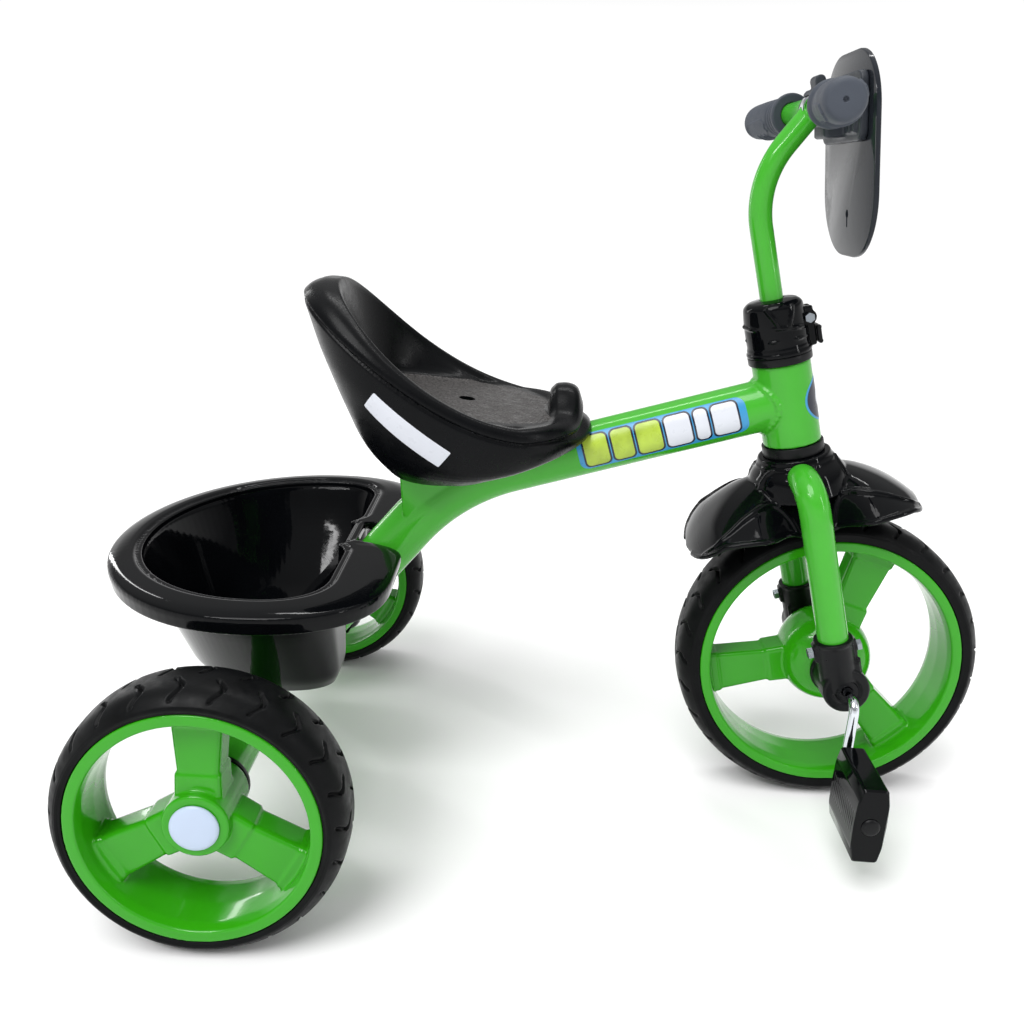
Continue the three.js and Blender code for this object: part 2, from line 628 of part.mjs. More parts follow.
// Tee bracket at the foot of each leg: a socket for the leg over a barrel for the crank.
function axleBracket() {
  const barrel = turned([[0, BRACKET_IN_Y], [BRACKET_R + 1.5, BRACKET_IN_Y], [BRACKET_R + 1.5, BRACKET_IN_Y + 3],
    [BRACKET_R, BRACKET_IN_Y + 4], [BRACKET_R, BRACKET_OUT_Y - 1.5], [BRACKET_R - 1.5, BRACKET_OUT_Y],
    [0, BRACKET_OUT_Y]]);
  const socket = rodZ(LEG_R + 2.7, 0, 42, 0, 20).translate(LEG_BACK, LEG_HALF_SPAN, 0);
  const ears = box(LEG_BACK - 17, LEG_BACK + 17, LEG_HALF_SPAN - 5, LEG_HALF_SPAN + 5, 24, 40);
  const web = box(-BRACKET_R + 3, BRACKET_R - 3, BRACKET_IN_Y + 9, BRACKET_OUT_Y - 3, 0, 22);
  return fromSolid(cut(join(barrel, socket, ears, web),
    rodZ(LEG_R + GAP, LEG_LOW - GAP, 60, 0, 16).translate(LEG_BACK, LEG_HALF_SPAN, 0),
    rod(9.3, 0, 90, 0, 16),
    rodX(2.8, -40, 40, 0, 10).translate(0, LEG_HALF_SPAN, BRACKET_BOLT_Z)));
}

const crankBush = () => rod(8.8, BRACKET_IN_Y - 0.7, BRACKET_OUT_Y, CRANK_R + RUN, 16);

// ---------------------------------------------------------------- crank and pedals

function crank() {
  const at = (y, z) => new THREE.Vector3(0, y, z);
  const path = rounded([at(-PEDAL_OUT_Y + 6, -CRANK_LENGTH), at(-CRANK_ARM_Y, -CRANK_LENGTH),
    at(-CRANK_ARM_Y, 0), at(CRANK_ARM_Y, 0), at(CRANK_ARM_Y, CRANK_LENGTH),
    at(PEDAL_OUT_Y - 6, CRANK_LENGTH)], 9);
  return fromSolid(solid(swept(path, CRANK_R, 10, 80)));
}

// Block pedal with a six-sided section, thicker in the middle, on a free spindle.
function pedal() {
  const [h, t] = [PEDAL_HALF_HEIGHT, PEDAL_HALF_THICK];
  const section = [[-t + 3, -h], [t - 3, -h], [t - 0.5, -h + 12], [t, 0], [t - 0.5, h - 12], [t - 3, h],
    [-t + 3, h], [-t + 0.5, h - 12], [-t, 0], [-t + 0.5, -h + 12]];
  const body = solid(slabXZ(section, PEDAL_IN_Y, PEDAL_OUT_Y));
  const recess = [[-h + 7, -h + 18], [h - 18, h - 7]].map(([z0, z1]) => (
    box(t - 1.5, t + 5, PEDAL_IN_Y + 10, PEDAL_OUT_Y - 12, z0, z1)));
  return fromSolid(cut(body, ...recess, rod(CRANK_R + RUN, PEDAL_IN_Y - 2, PEDAL_OUT_Y + 2, 0, 14)));
}

const pedalCap = () => turned([[0, PEDAL_OUT_Y - 5.5], [CRANK_R, PEDAL_OUT_Y - 5.5], [CRANK_R, PEDAL_OUT_Y + 0.3],
  [7, PEDAL_OUT_Y + 0.3], [5.5, PEDAL_OUT_Y + 2], [0, PEDAL_OUT_Y + 2.4]], 16);

// ---------------------------------------------------------------- handlebar

function handlebarSolid(radius, sides) {
  const start = new THREE.Vector3(0, 0, STEM_BEND_START);
  const onBend = (a) => new THREE.Vector3(1 - Math.cos(a), 0, Math.sin(a)).multiplyScalar(STEM_BEND_R).add(start);
  const tangentCorner = (a, b) => onBend(a).add(
    new THREE.Vector3(Math.sin(a), 0, Math.cos(a)).multiplyScalar(STEM_BEND_R * Math.tan((b - a) / 2)));
  const stem = new THREE.CurvePath();
  stem.add(new THREE.LineCurve3(new THREE.Vector3(0, 0, STEM_LOW), start));
  stem.add(new THREE.QuadraticBezierCurve3(start, tangentCorner(0, STEM_LEAN / 2), onBend(STEM_LEAN / 2)));
  stem.add(new THREE.QuadraticBezierCurve3(
    onBend(STEM_LEAN / 2), tangentCorner(STEM_LEAN / 2, STEM_LEAN), onBend(STEM_LEAN)));
  stem.add(new THREE.LineCurve3(onBend(STEM_LEAN), BAR_CENTRE));
  const flip = (p) => new THREE.Vector3(p.x, -p.y, p.z);
  const bar = rounded([BAR_END, BAR_ELBOW, flip(BAR_ELBOW), flip(BAR_END)], 20);
  return solid(swept(bar, radius, sides, 24)).add(solid(swept(stem, radius, sides, 24)));
}

// Puts a grip that is drawn along +Y onto the left arm of the bar.
function ontoArm(geometry) {
  const direction = BAR_END.clone().sub(BAR_ELBOW).normalize();
  const turn = new THREE.Quaternion().setFromUnitVectors(new THREE.Vector3(0, 1, 0), direction);
  return geometry.applyQuaternion(turn).translate(BAR_END.x, BAR_END.y, BAR_END.z);
}

const GRIP_LENGTH = 66;

// Moulded grip: inner flange, ribbed sleeve, rounded end with a vent hole.
function grip() {
  const bore = BAR_R + GAP;
  const low = -GRIP_LENGTH;
  return ontoArm(turned([[bore, low], [16.5, low], [17, low + 2], [16.5, low + 5], [13, low + 7], [14.8, low + 20],
    [14.8, low + 40], [14.2, -3], [13.6, 2], [11.5, 4.6], [1.6, 5], [1.6, 1], [bore, 1]], 16));
}

// Clamp cover on top of the head: a domed collar, split in front and drawn up by a bolt.
function stemClamp() {
  const collar = turnedAboutZ([[0, 263.7], [25, 263.7], [25, 269], [24, 271], [24.3, 283], [23.6, 294], [21.5, 302],
    [17, 306], [0, 307]], 24);
  const lugs = box(10, 29, -7, 7, 265.5, 297);
  return fromSolid(cut(join(collar, lugs),
    rodZ(STEERER_R + GAP, 250, STEERER_TOP + GAP, 0, 20),
    rodZ(BAR_R + 0.5, 280, 320, 0, 18),
    box(9, 40, -1.2, 1.2, 255, 315),
    rod(2.7, -20, 20, 0, 12).translate(25, 0, 288),
    ...SIDES.map(([, side]) => mirrored(box(18, 40, 7, 20, 282.5, 293.5), side))));
}

// Quick clip on the lower part of the clamp's lugs.
const clampLatch = () => box(29.4, 33.4, -8, 8, 267, 280);

// ---------------------------------------------------------------- front shield

const SHIELD_TILT = THREE.MathUtils.degToRad(8.1);
const SHIELD_MIDDLE = new THREE.Vector3(71, 0, 401);
const SHIELD_HALF_HEIGHT = 74;
const SHIELD_HALF_WIDTH = 60;
const SHIELD_THICK = 4;
const SHIELD_SCREW_Y = 34;
const SHIELD_SCREW_UP = 34;
const STRAP_HALF = 6;
const STRAP_THICK = 1.6;
const BAR_ROOM = 0.5; // between the bar and the bracket round it

// Turns a geometry drawn with the plate's back face in the plane X = 0 into its place.
const ontoShield = (geometry) => geometry.rotateY(SHIELD_TILT)
  .translate(SHIELD_MIDDLE.x, SHIELD_MIDDLE.y, SHIELD_MIDDLE.z);

function shieldOutline(halfWidth, low, high, lowR, highR) {
  const shape = new THREE.Shape();
  shape.moveTo(-halfWidth + lowR, low);
  shape.lineTo(halfWidth - lowR, low);
  shape.absarc(halfWidth - lowR, low + lowR, lowR, -Math.PI / 2, 0);
  shape.lineTo(halfWidth, high - highR);
  shape.absarc(halfWidth - highR, high - highR, highR, 0, Math.PI / 2);
  shape.lineTo(-halfWidth + highR, high);
  shape.absarc(-halfWidth + highR, high - highR, highR, Math.PI / 2, Math.PI);
  shape.lineTo(-halfWidth, low + lowR);
  shape.absarc(-halfWidth + lowR, low + lowR, lowR, Math.PI, 1.5 * Math.PI);
  return shape;
}

// Plate across Y and Z with a given thickness along X.
function plateYZ(shape, x0, x1) {
  const geometry = new THREE.ExtrudeGeometry(shape, { depth: x1 - x0, bevelEnabled: false, curveSegments: 7 });
  return geometry.rotateX(Math.PI / 2).rotateZ(Math.PI / 2).translate(x0, 0, 0);
}

const shieldScrewRoom = (radius) => SIDES.map(([, side]) => (
  rodX(radius, -20, 20, 0, 10).translate(0, side * SHIELD_SCREW_Y, SHIELD_SCREW_UP)));

function shieldPlate() {
  const outline = shieldOutline(SHIELD_HALF_WIDTH, -SHIELD_HALF_HEIGHT, SHIELD_HALF_HEIGHT, 48, 42);
  return ontoShield(fromSolid(cut(solid(plateYZ(outline, 0, SHIELD_THICK)), ...shieldScrewRoom(2))));
}

// Mount: a wide pad behind the plate and a split clamp round the bar.
function shieldBracket() {
  const pad = ontoShield(plateYZ(shieldOutline(46, 10, 58, 8, 8), -6 - GAP, -GAP));
  const block = box(47, 72, -14, 14, 428, 454);
  const arms = ontoShield(box(-22, -3, -15, 15, 14, 52));
  const ear = box(52, 60, -8, 8, 452, 461);
  const holes = shieldScrewRoom(1.7).map(ontoShield);
  const plateRoom = ontoShield(box(-GAP, 40, -80, 80, -90, 90));
  const strapRoom = rod(BAR_R + STRAP_THICK + BAR_ROOM + GAP, -STRAP_HALF - GAP, STRAP_HALF + GAP, 0, 24)
    .translate(BAR_CENTRE.x, 0, BAR_CENTRE.z);
  const body = join(pad, block, arms, ear).subtract(handlebarSolid(BAR_R + BAR_ROOM, 12));
  return fromSolid(cut(body, ...holes, plateRoom, strapRoom));
}

// Metal strap that holds the bracket to the bar.
function barStrap() {
  const half = rod(BAR_R + GAP + STRAP_THICK, -STRAP_HALF, STRAP_HALF, 0, 24);
  return fromSolid(solid(half.translate(BAR_CENTRE.x, 0, BAR_CENTRE.z)).subtract(handlebarSolid(BAR_R + GAP, 16)));
}

function shieldScrew(side) {
  const head = rodX(4, SHIELD_THICK + GAP, SHIELD_THICK + GAP + 2, 0, 14);
  const shank = rodX(1.4, -6, SHIELD_THICK + GAP + 1, 0, 10);
  const screw = fromSolid(join(head, shank)).translate(0, side * SHIELD_SCREW_Y, SHIELD_SCREW_UP);
  return ontoShield(screw);
}

// ---------------------------------------------------------------- assembly

function fixedPieces() {
  const rearAxle = rod(AXLE_ROD_R, -TRACK / 2 - 15, TRACK / 2 + 15, 0, 14).translate(0, 0, REAR_R);
  const basketScrew = (side) => fromSolid(join(
    rodZ(4.5, BASKET_FLOOR_Z + GAP, BASKET_FLOOR_Z + 2.5, 0, 12), rodZ(1.9, 106, BASKET_FLOOR_Z + 1, 0, 10),
  )).translate(0, side * BASKET_TAB_Y, 0);
  const seatBolt = bolt(2.6, 9, 4, 5).rotateX(Math.PI / 2);
  return [
    piece('frame', frame(), paint),
    piece('rear_axle', rearAxle, steel),
    piece('seat', seat(), blackPlastic),
    piece('basket', basket(), blackGloss),
    piece('seat_bolt_rear', seatBolt.clone().translate(SEAT_BOLT_X[0], 0, SEAT_PLATE_Z - 3 - GAP), steel),
    piece('seat_bolt_front', seatBolt.clone().translate(SEAT_BOLT_X[1], 0, SEAT_PLATE_Z - 3 - GAP), steel),
    ...SIDES.map(([name, side]) => piece(`basket_screw_${name}`, basketScrew(side), steel)),
    ...SIDES.map(([name, side]) => piece(`axle_bush_${name}`,
      mirrored(axleBush(), side).clone().translate(0, 0, REAR_R), blackPlastic)),
    piece('lower_head_bush', alongSteering(headBush(181.6, 190, 189, 210, 24.5)), blackPlastic),
    piece('upper_head_bush', alongSteering(headBush(HEAD_TOP + GAP, 263.4, 236, 258, 25)), blackPlastic),
  ];
}

function steeringPieces() {
  const bracketBolt = bolt(2.5, 8, 3.5, 38).rotateZ(Math.PI / 2)
    .translate(17.3 + LEG_BACK, LEG_HALF_SPAN, BRACKET_BOLT_Z);
  const bracketNut = hexagon(8, 0, 4, 3).rotateZ(Math.PI / 2)
    .translate(-17.3 + LEG_BACK, LEG_HALF_SPAN, BRACKET_BOLT_Z);
  return [
    piece('fork', fork(), paint),
    piece('fender', fender(), blackGloss),
    piece('handlebar', fromSolid(handlebarSolid(BAR_R, 16)), paint),
    piece('stem_clamp', stemClamp(), blackGloss),
    piece('clamp_latch', clampLatch(), blackPlastic),
    piece('clamp_bolt', bolt(2.1, 7, 3, 18).translate(25, -7.3, 288), steel),
    piece('clamp_nut', hexagon(7, 7.3, 10.5, 2.7).translate(25, 0, 288), steel),
    piece('shield_plate', shieldPlate(), smoked),
    piece('shield_bracket', shieldBracket(), blackPlastic),
    piece('bar_strap', barStrap(), chrome),
    ...SIDES.map(([name, side]) => piece(`shield_screw_${name}`, shieldScrew(side), steel)),
    ...SIDES.flatMap(([name, side]) => [
      piece(`grip_${name}`, mirrored(grip(), side), greyGrip),
      piece(`axle_bracket_${name}`, mirrored(axleBracket(), side), blackPlastic),
      piece(`crank_bush_${name}`, mirrored(crankBush(), side), blackPlastic),
      piece(`bracket_bolt_${name}`, mirrored(bracketBolt, side), steel),
      piece(`bracket_nut_${name}`, mirrored(bracketNut, side), steel),
    ]),
  ];
}

// The crank turns with the wheel; each pedal hangs on one of its ends.
function drivePieces() {
  const turning = group(piece('crank', crank(), chrome), ...SIDES.flatMap(([name, side]) => {
    const place = group(
      piece(`pedal_${name}`, mirrored(pedal(), side), blackPlastic),
      piece(`pedal_cap_${name}`, mirrored(pedalCap(), side), blackPlastic),
    );
    place.position.z = side * CRANK_LENGTH;
    return place;
  }));
  turning.rotation.y = CRANK_TILT;
  return [
    piece('front_tyre', tyre(FRONT_R, FRONT_RIM_R), rubber),
    piece('front_rim', frontRim(), greenPlastic),
    turning,
  ];
}

const steering = group(...steeringPieces());
steering.rotation.y = -RAKE;
steering.position.set(WHEELBASE, 0, FRONT_R);

const drive = group(...drivePieces());
drive.position.set(WHEELBASE, 0, FRONT_R);

const rearWheels = SIDES.map(([name, side]) => rearWheel(name, side));

const tricycle = group(...fixedPieces(), ...rearWheels, steering, drive);
tricycle.position.x = -ORIGIN_X;

export default tricycle;
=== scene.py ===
from math import ceil, cos, pi, radians, sin, sqrt, tan

import bmesh
import bpy
import numpy as np
from mathutils import Matrix, Vector


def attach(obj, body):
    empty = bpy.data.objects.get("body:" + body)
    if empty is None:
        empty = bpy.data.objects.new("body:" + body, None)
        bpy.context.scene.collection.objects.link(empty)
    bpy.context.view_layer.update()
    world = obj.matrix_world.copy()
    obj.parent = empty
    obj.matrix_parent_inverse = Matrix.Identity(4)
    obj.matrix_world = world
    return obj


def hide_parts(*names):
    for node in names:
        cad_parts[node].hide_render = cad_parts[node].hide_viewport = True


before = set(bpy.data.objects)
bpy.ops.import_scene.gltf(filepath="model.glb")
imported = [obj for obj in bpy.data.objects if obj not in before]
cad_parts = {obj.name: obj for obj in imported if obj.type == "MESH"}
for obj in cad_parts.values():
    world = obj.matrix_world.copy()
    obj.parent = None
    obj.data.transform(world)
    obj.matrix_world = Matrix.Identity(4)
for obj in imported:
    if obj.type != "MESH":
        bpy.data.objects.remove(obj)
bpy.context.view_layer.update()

# Children's tricycle: fine pieces, materials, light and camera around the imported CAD.
# Shapes are drawn in millimetres in the frame of their own group, and that group's matrix places them.
# X points forward, Y to the left and Z up.

# ---- driving dimensions, as in the CAD

FRONT_R = 125
REAR_R = 98.5
WHEELBASE = 464
TRACK = 396
WHEEL_WIDTH = 49
RAKE = radians(13.1)
ORIGIN_X = 231

FRONT_RIM_R = 108
REAR_RIM_R = 84
FRONT_SPOKE = radians(191)
REAR_SPOKE = radians(88.5)

TUBE_R = 21
TUBE_DROP = radians(15.8)
TUBE_FALL = radians(49.5)
TUBE_BEND_R = 170
TUBE_BEND_X = 195
TUBE_BEND_Z = 282.3
TUBE_JOINT = 222        # up the steering axis from the front axle
TUBE_ROOM = 1.5
HEAD_R = 23
HEAD_BORE_R = 19.5
HEAD_LOW = 190.3
HEAD_TOP = 257
AXLE_TUBE_R = 16
AXLE_TUBE_BORE_R = 13.5
AXLE_TUBE_HALF = 168
AXLE_ROD_R = 5
TURN_GAP = 0.5          # between a shaft and what turns on it

LEG_R = 12
LEG_HALF_SPAN = 56
LEG_BACK = -2.5
LEG_LOW = 18
CROWN_Z = 167
CROWN_BEND_R = 26
STEERER_R = 12.7
STEERER_TOP = 292

BAR_R = 9
STEM_LOW = 236
STEM_BEND_START = 362
STEM_BEND_R = 75
STEM_LEAN = radians(50)
BAR_CENTRE = Vector((51.5, 0, 440))
BAR_ELBOW = Vector((51.5, 33, 440))
BAR_END = Vector((37, 118, 440))
STEM_END = Vector((0.64, 0, 0.77))      # the way the stem runs into the bar
GRIP_LENGTH = 66

CRANK_R = 3.9
CRANK_LENGTH = 60
CRANK_ARM_Y = 88
CRANK_TILT = radians(2.9)
PEDAL_IN_Y = 97
PEDAL_OUT_Y = 152
PEDAL_HALF_HEIGHT = 30
PEDAL_HALF_THICK = 12
BRACKET_IN_Y = 33
BRACKET_OUT_Y = 68
BRACKET_R = 18.5
BRACKET_BOLT_Z = 32
HUB_END_Y = 31
REAR_HUB_R = 22.5
REAR_HUB_OUT = 19

BASKET_RIM_Z = 223
BASKET_FLOOR_Z = 120
BASKET_BACK_X = -127
BASKET_HALF_WIDTH = 163
BASKET_WALL = 3
CHANNEL_HALF = 22.5
BASKET_SCREW_Y = 46

SEAT_PLATE_Z = 331
SEAT_MID_X = 150
SEAT_HALF_LENGTH = 100
SEAT_HALF_WIDTH = 88
SEAT_BOLT_X = (128, 184)

SHIELD_TILT = radians(8.1)
SHIELD_MIDDLE = (71, 0, 401)
SHIELD_SCREW = (0, 34, 34)
CLAMP_BOLT = (25, 0, 288)

SIDES = (("left", 1), ("right", -1))
MM = 0.001
GAP = 0.3


def place(x, y, z, turn=0.0):
    """Matrix from a group's millimetres to the row frame."""
    spot = Vector((x - ORIGIN_X, y, z)) * MM
    return Matrix.Translation(spot) @ Matrix.Rotation(turn, 4, "Y") @ Matrix.Scale(MM, 4)


BIKE = place(0, 0, 0)
STEERING = place(WHEELBASE, 0, FRONT_R, -RAKE)
DRIVE = place(WHEELBASE, 0, FRONT_R)
CRANK = place(WHEELBASE, 0, FRONT_R, CRANK_TILT)
SHIELD = STEERING @ Matrix.Translation(SHIELD_MIDDLE) @ Matrix.Rotation(SHIELD_TILT, 4, "Y")
MIRROR = Matrix.Scale(-1, 4, (0, 1, 0))


def to_bike(spot):
    """Millimetres of the whole tricycle's group, from metres in the row frame."""
    return Vector((spot[0] / MM + ORIGIN_X, spot[1] / MM, spot[2] / MM))


def sided(matrix, side):
    """The same place, mirrored across the middle plane for the right-hand side."""
    return matrix if side > 0 else matrix @ MIRROR


# ---- camera, floor and light

CAMERA_SPOT = (-0.0197, -0.7453, 0.5067)
CAMERA_YAW, CAMERA_PITCH, CAMERA_ROLL = 0.008, 0.249, 0.025
LIGHT_AIM = (0.05, 0, 0.3)
LIGHT_PANELS = (("key", (-0.9, -1.3, 1.6), (0.9, 0.08), 8), ("front", (1.5, -0.9, 1.0), (0.06, 1.0), 4),
                ("top", (0.1, 0.6, 2.0), (1.3, 0.08), 8), ("behind", (-1.4, 1.2, 0.9), (0.08, 1.2), 4))
SKY = ((0.16, 1.03), (0.32, 0.26), (1, 1))      # height of a direction, brightness there
SUN_RAYS = (0.3, 0.5, -1)
FLOOR_HALF = 14


def linked(obj):
    """Adds the object to the scene."""
    bpy.context.collection.objects.link(obj)
    return obj


def camera():
    """Camera on the tricycle's right, looking a little down at it."""
    yaw, pitch, roll = CAMERA_YAW, CAMERA_PITCH, CAMERA_ROLL
    ahead = Vector((-sin(yaw) * cos(pitch), cos(yaw) * cos(pitch), -sin(pitch)))
    right = Vector((cos(yaw), sin(yaw), 0))
    up = right.cross(ahead)
    across = cos(roll) * right + sin(roll) * up
    upward = cos(roll) * up - sin(roll) * right
    data = bpy.data.cameras.new("camera")
    data.lens = 33.46
    data.sensor_width = 36
    data.shift_x = -0.0132
    data.shift_y = -0.085
    data.clip_start = 0.02
    lens = linked(bpy.data.objects.new("camera", data))
    turn = Matrix((across, upward, -ahead)).transposed().to_4x4()
    lens.matrix_world = Matrix.Translation(CAMERA_SPOT) @ turn
    bpy.context.scene.camera = lens


def area_light(name, spot, size, watts):
    """Rectangular panel that faces the middle of the tricycle."""
    data = bpy.data.lights.new(name, "AREA")
    data.shape = "RECTANGLE"
    data.size, data.size_y = size
    data.energy = watts
    lamp = linked(bpy.data.objects.new(name, data))
    lamp.location = spot
    lamp.rotation_euler = (Vector(LIGHT_AIM) - Vector(spot)).to_track_quat("-Z", "Y").to_euler()


def sky():
    """World that is pale at the horizon, grey above it and pale again overhead."""
    world = bpy.data.worlds.new("studio")
    bpy.context.scene.world = world
    world.use_nodes = True
    nodes, links = world.node_tree.nodes, world.node_tree.links
    height = nodes.new("ShaderNodeSeparateXYZ")
    links.new(nodes.new("ShaderNodeTexCoord").outputs["Generated"], height.inputs["Vector"])
    fade = nodes.new("ShaderNodeValToRGB")
    stops = fade.color_ramp.elements
    stops.new(SKY[1][0])
    for stop, (position, level) in zip(stops, SKY):
        stop.position = position
        stop.color = (level, level, level, 1)
    links.new(height.outputs["Z"], fade.inputs["Fac"])
    links.new(fade.outputs["Color"], nodes["Background"].inputs["Color"])


def floor():
    """Plain pale floor, which isn't part of the object."""
    size = FLOOR_HALF
    data = bpy.data.meshes.new("floor")
    data.from_pydata([(-size, -size, 0), (size, -size, 0), (size, size, 0), (-size, size, 0)], [], [(0, 1, 2, 3)])
    ground = linked(bpy.data.objects.new("floor", data))
    pale = bpy.data.materials.new("floor")
    pale.use_nodes = True
    surface = pale.node_tree.nodes["Principled BSDF"]
    surface.inputs["Base Color"].default_value = (0.93, 0.93, 0.93, 1)
    surface.inputs["Roughness"].default_value = 0.85
    surface.inputs["Specular IOR Level"].default_value = 0.1
    data.materials.append(pale)


def studio():
    """Soft sun and narrow panels over the floor, under the sky."""
    bpy.context.scene.view_settings.view_transform = "Standard"
    sky()
    for name, spot, size, watts in LIGHT_PANELS:
        area_light(name, spot, size, watts)
    sun = bpy.data.lights.new("sun", "SUN")
    sun.energy = 1.8
    sun.angle = radians(34)
    lamp = linked(bpy.data.objects.new("sun", sun))
    lamp.rotation_euler = Vector(SUN_RAYS).to_track_quat("-Z", "Y").to_euler()
    floor()


# ---- materials

def linear(red, green, blue):
    """Linear colour from 0-255 screen values."""
    return tuple(((c / 255 + 0.055) / 1.055) ** 2.4 if c > 10 else c / 255 / 12.92 for c in (red, green, blue))


SLOTS = {}      # the record's material slot that each material stands for


def finish(name, colour, rough, spread=0.05, vary=0.06, vary_scale=22, grain=(900, 0.05, 0.0002), cells=None,
           slot=None, **sockets):
    """Moulded, painted or plated surface: uneven colour and gloss, and a fine grain of cells or noise."""
    made = bpy.data.materials.new(name)
    SLOTS[made.name] = slot or name
    made.use_nodes = True
    nodes, links = made.node_tree.nodes, made.node_tree.links
    shader = nodes["Principled BSDF"]
    for socket, value in sockets.items():
        shader.inputs[socket.replace("_", " ")].default_value = value
    where = nodes.new("ShaderNodeTexCoord").outputs["Object"]

    def noise(scale, detail):
        node = nodes.new("ShaderNodeTexNoise")
        node.inputs["Scale"].default_value = scale
        node.inputs["Detail"].default_value = detail
        links.new(where, node.inputs["Vector"])
        return node.outputs["Fac"]

    def mapped(source, low, high, to_low, to_high):
        node = nodes.new("ShaderNodeMapRange")
        for socket, value in (("From Min", low), ("From Max", high), ("To Min", to_low), ("To Max", to_high)):
            node.inputs[socket].default_value = value
        links.new(source, node.inputs["Value"])
        return node.outputs["Result"]

    shade = nodes.new("ShaderNodeMix")
    shade.data_type = "RGBA"
    share, dark, light = shade.inputs[0], shade.inputs[6], shade.inputs[7]
    links.new(mapped(noise(vary_scale, 4), 0.3, 0.7, 0, 1), share)
    base = linear(*colour)
    dark.default_value = (*(c * (1 - vary) for c in base), 1)
    light.default_value = (*(min(1, c * (1 + vary)) for c in base), 1)
    links.new(shade.outputs[2], shader.inputs["Base Color"])
    links.new(mapped(noise(130, 3), 0.3, 0.7, rough - spread, rough + spread), shader.inputs["Roughness"])
    bump = nodes.new("ShaderNodeBump")
    scale, bump.inputs["Strength"].default_value, bump.inputs["Distance"].default_value = grain
    if cells:
        voronoi = nodes.new("ShaderNodeTexVoronoi")
        voronoi.feature = cells
        voronoi.inputs["Scale"].default_value = scale
        links.new(where, voronoi.inputs["Vector"])
        links.new(voronoi.outputs["Distance"], bump.inputs["Height"])
    else:
        links.new(noise(scale, 2), bump.inputs["Height"])
    links.new(bump.outputs["Normal"], shader.inputs["Normal"])
    return made


PAINT = finish("green_paint", (62, 163, 40), 0.18, grain=(420, 0.03, 0.0002), vary=0.04,
               Coat_Weight=0.25, Coat_Roughness=0.04, Specular_IOR_Level=0.25)
WHEEL_GREEN = finish("green_plastic", (46, 149, 15), 0.17, spread=0.02, vary=0.03, grain=(300, 0.015, 0.0001),
                     Coat_Weight=0.25, Coat_Roughness=0.03, Specular_IOR_Level=0.25)
GLOSS = finish("gloss_black", (6, 7, 9), 0.07, spread=0.03, vary=0.25, grain=(220, 0.05, 0.0004),
               Specular_IOR_Level=0.13)
SEAT_BLACK = finish("seat_black", (6, 7, 9), 0.28, vary=0.15, grain=(1300, 0.1, 0.0002),
                    Specular_IOR_Level=0.11)
SEAT_GRAIN = finish("seat_grain", (58, 56, 55), 0.45, spread=0.12, vary=1.2, vary_scale=620,
                    grain=(560, 1.0, 0.0015), cells="SMOOTH_F1", Specular_IOR_Level=0.3)
SATIN = finish("satin_black", (10, 11, 13), 0.34, spread=0.08, vary=0.2, grain=(1500, 0.15, 0.0002),
               Specular_IOR_Level=0.18)
FOAM = finish("foam_tyre", (10, 11, 12), 0.4, spread=0.12, vary=0.3, vary_scale=60, grain=(1700, 0.3, 0.0003),
              Specular_IOR_Level=0.09)
GRIP = finish("grey_grip", (62, 67, 76), 0.6, spread=0.06, vary=0.1, grain=(1600, 0.3, 0.0003),
              Specular_IOR_Level=0.3)
CHROME = finish("chrome", (214, 218, 224), 0.1, vary=0.05, grain=(300, 0.04, 0.0002), Metallic=1.0)
STEEL = finish("steel", (140, 146, 152), 0.32, spread=0.1, vary=0.15, grain=(800, 0.15, 0.0002), Metallic=1.0)
NYLON = finish("white_nylon", (178, 192, 214), 0.35, vary=0.03, grain=(900, 0.1, 0.0002))
SMOKED = finish("smoked_plastic", (34, 37, 43), 0.1, spread=0.04, vary=0.08, grain=(160, 0.03, 0.0002),
                Specular_IOR_Level=0.16)
BRACKET_GREY = finish("bracket_grey", (46, 50, 57), 0.45, spread=0.06, vary=0.1, grain=(1500, 0.2, 0.0002),
                      slot="satin_black", Specular_IOR_Level=0.3)
DECAL_BLUE = finish("decal_blue", (52, 140, 192), 0.3, vary=0.05, slot="green_paint")
DECAL_WHITE = finish("decal_white", (205, 208, 216), 0.3, vary=0.04, slot="green_paint")
DECAL_LIME = finish("decal_lime", (160, 184, 60), 0.3, vary=0.18, vary_scale=70, slot="green_paint")
DECAL_NAVY = finish("decal_navy", (20, 24, 44), 0.3, vary=0.1, slot="green_paint")


# ---- shapes

def fillet(points, radius, steps=5, closed=False):
    """Rounds the corners of a polyline, or of many side by side, with quadratic arcs."""
    line = [np.asarray(p, float) for p in points]
    count = len(line)
    radii = np.broadcast_to(radius, count)
    made = []
    for k, corner in enumerate(line):
        if radii[k] == 0 or (not closed and k in (0, count - 1)):
            made.append(corner)
            continue
        ends = []
        for run in (line[k - 1] - corner, line[(k + 1) % count] - corner):
            length = np.maximum(np.linalg.norm(run, axis=-1, keepdims=True), 1e-6)
            ends.append(corner + run * np.minimum(0.49, radii[k] / length))
        for t in np.linspace(0, 1, steps + 1):
            made.append((1 - t) ** 2 * ends[0] + 2 * t * (1 - t) * corner + t * t * ends[1])
    return made


def skin(rows, wrap=True, loop=False):
    """Faces over rows of points. wrap closes each row, loop joins the last row to the first."""
    grid = np.asarray([np.asarray(row, float) for row in rows])
    total, count = grid.shape[:2]
    faces = []
    for k in range(total if loop else total - 1):
        low, high = k * count, (k + 1) % total * count
        for i in range(count if wrap else count - 1):
            j = (i + 1) % count
            faces.append((low + i, low + j, high + j, high + i))
    if wrap and not loop:
        faces.append(tuple(reversed(range(count))))
        faces.append(tuple((total - 1) * count + i for i in range(count)))
    return grid.reshape(-1, 3), faces


def all_round(count):
    """Angles of evenly spaced directions."""
    return np.linspace(0, 2 * pi, count, endpoint=False)


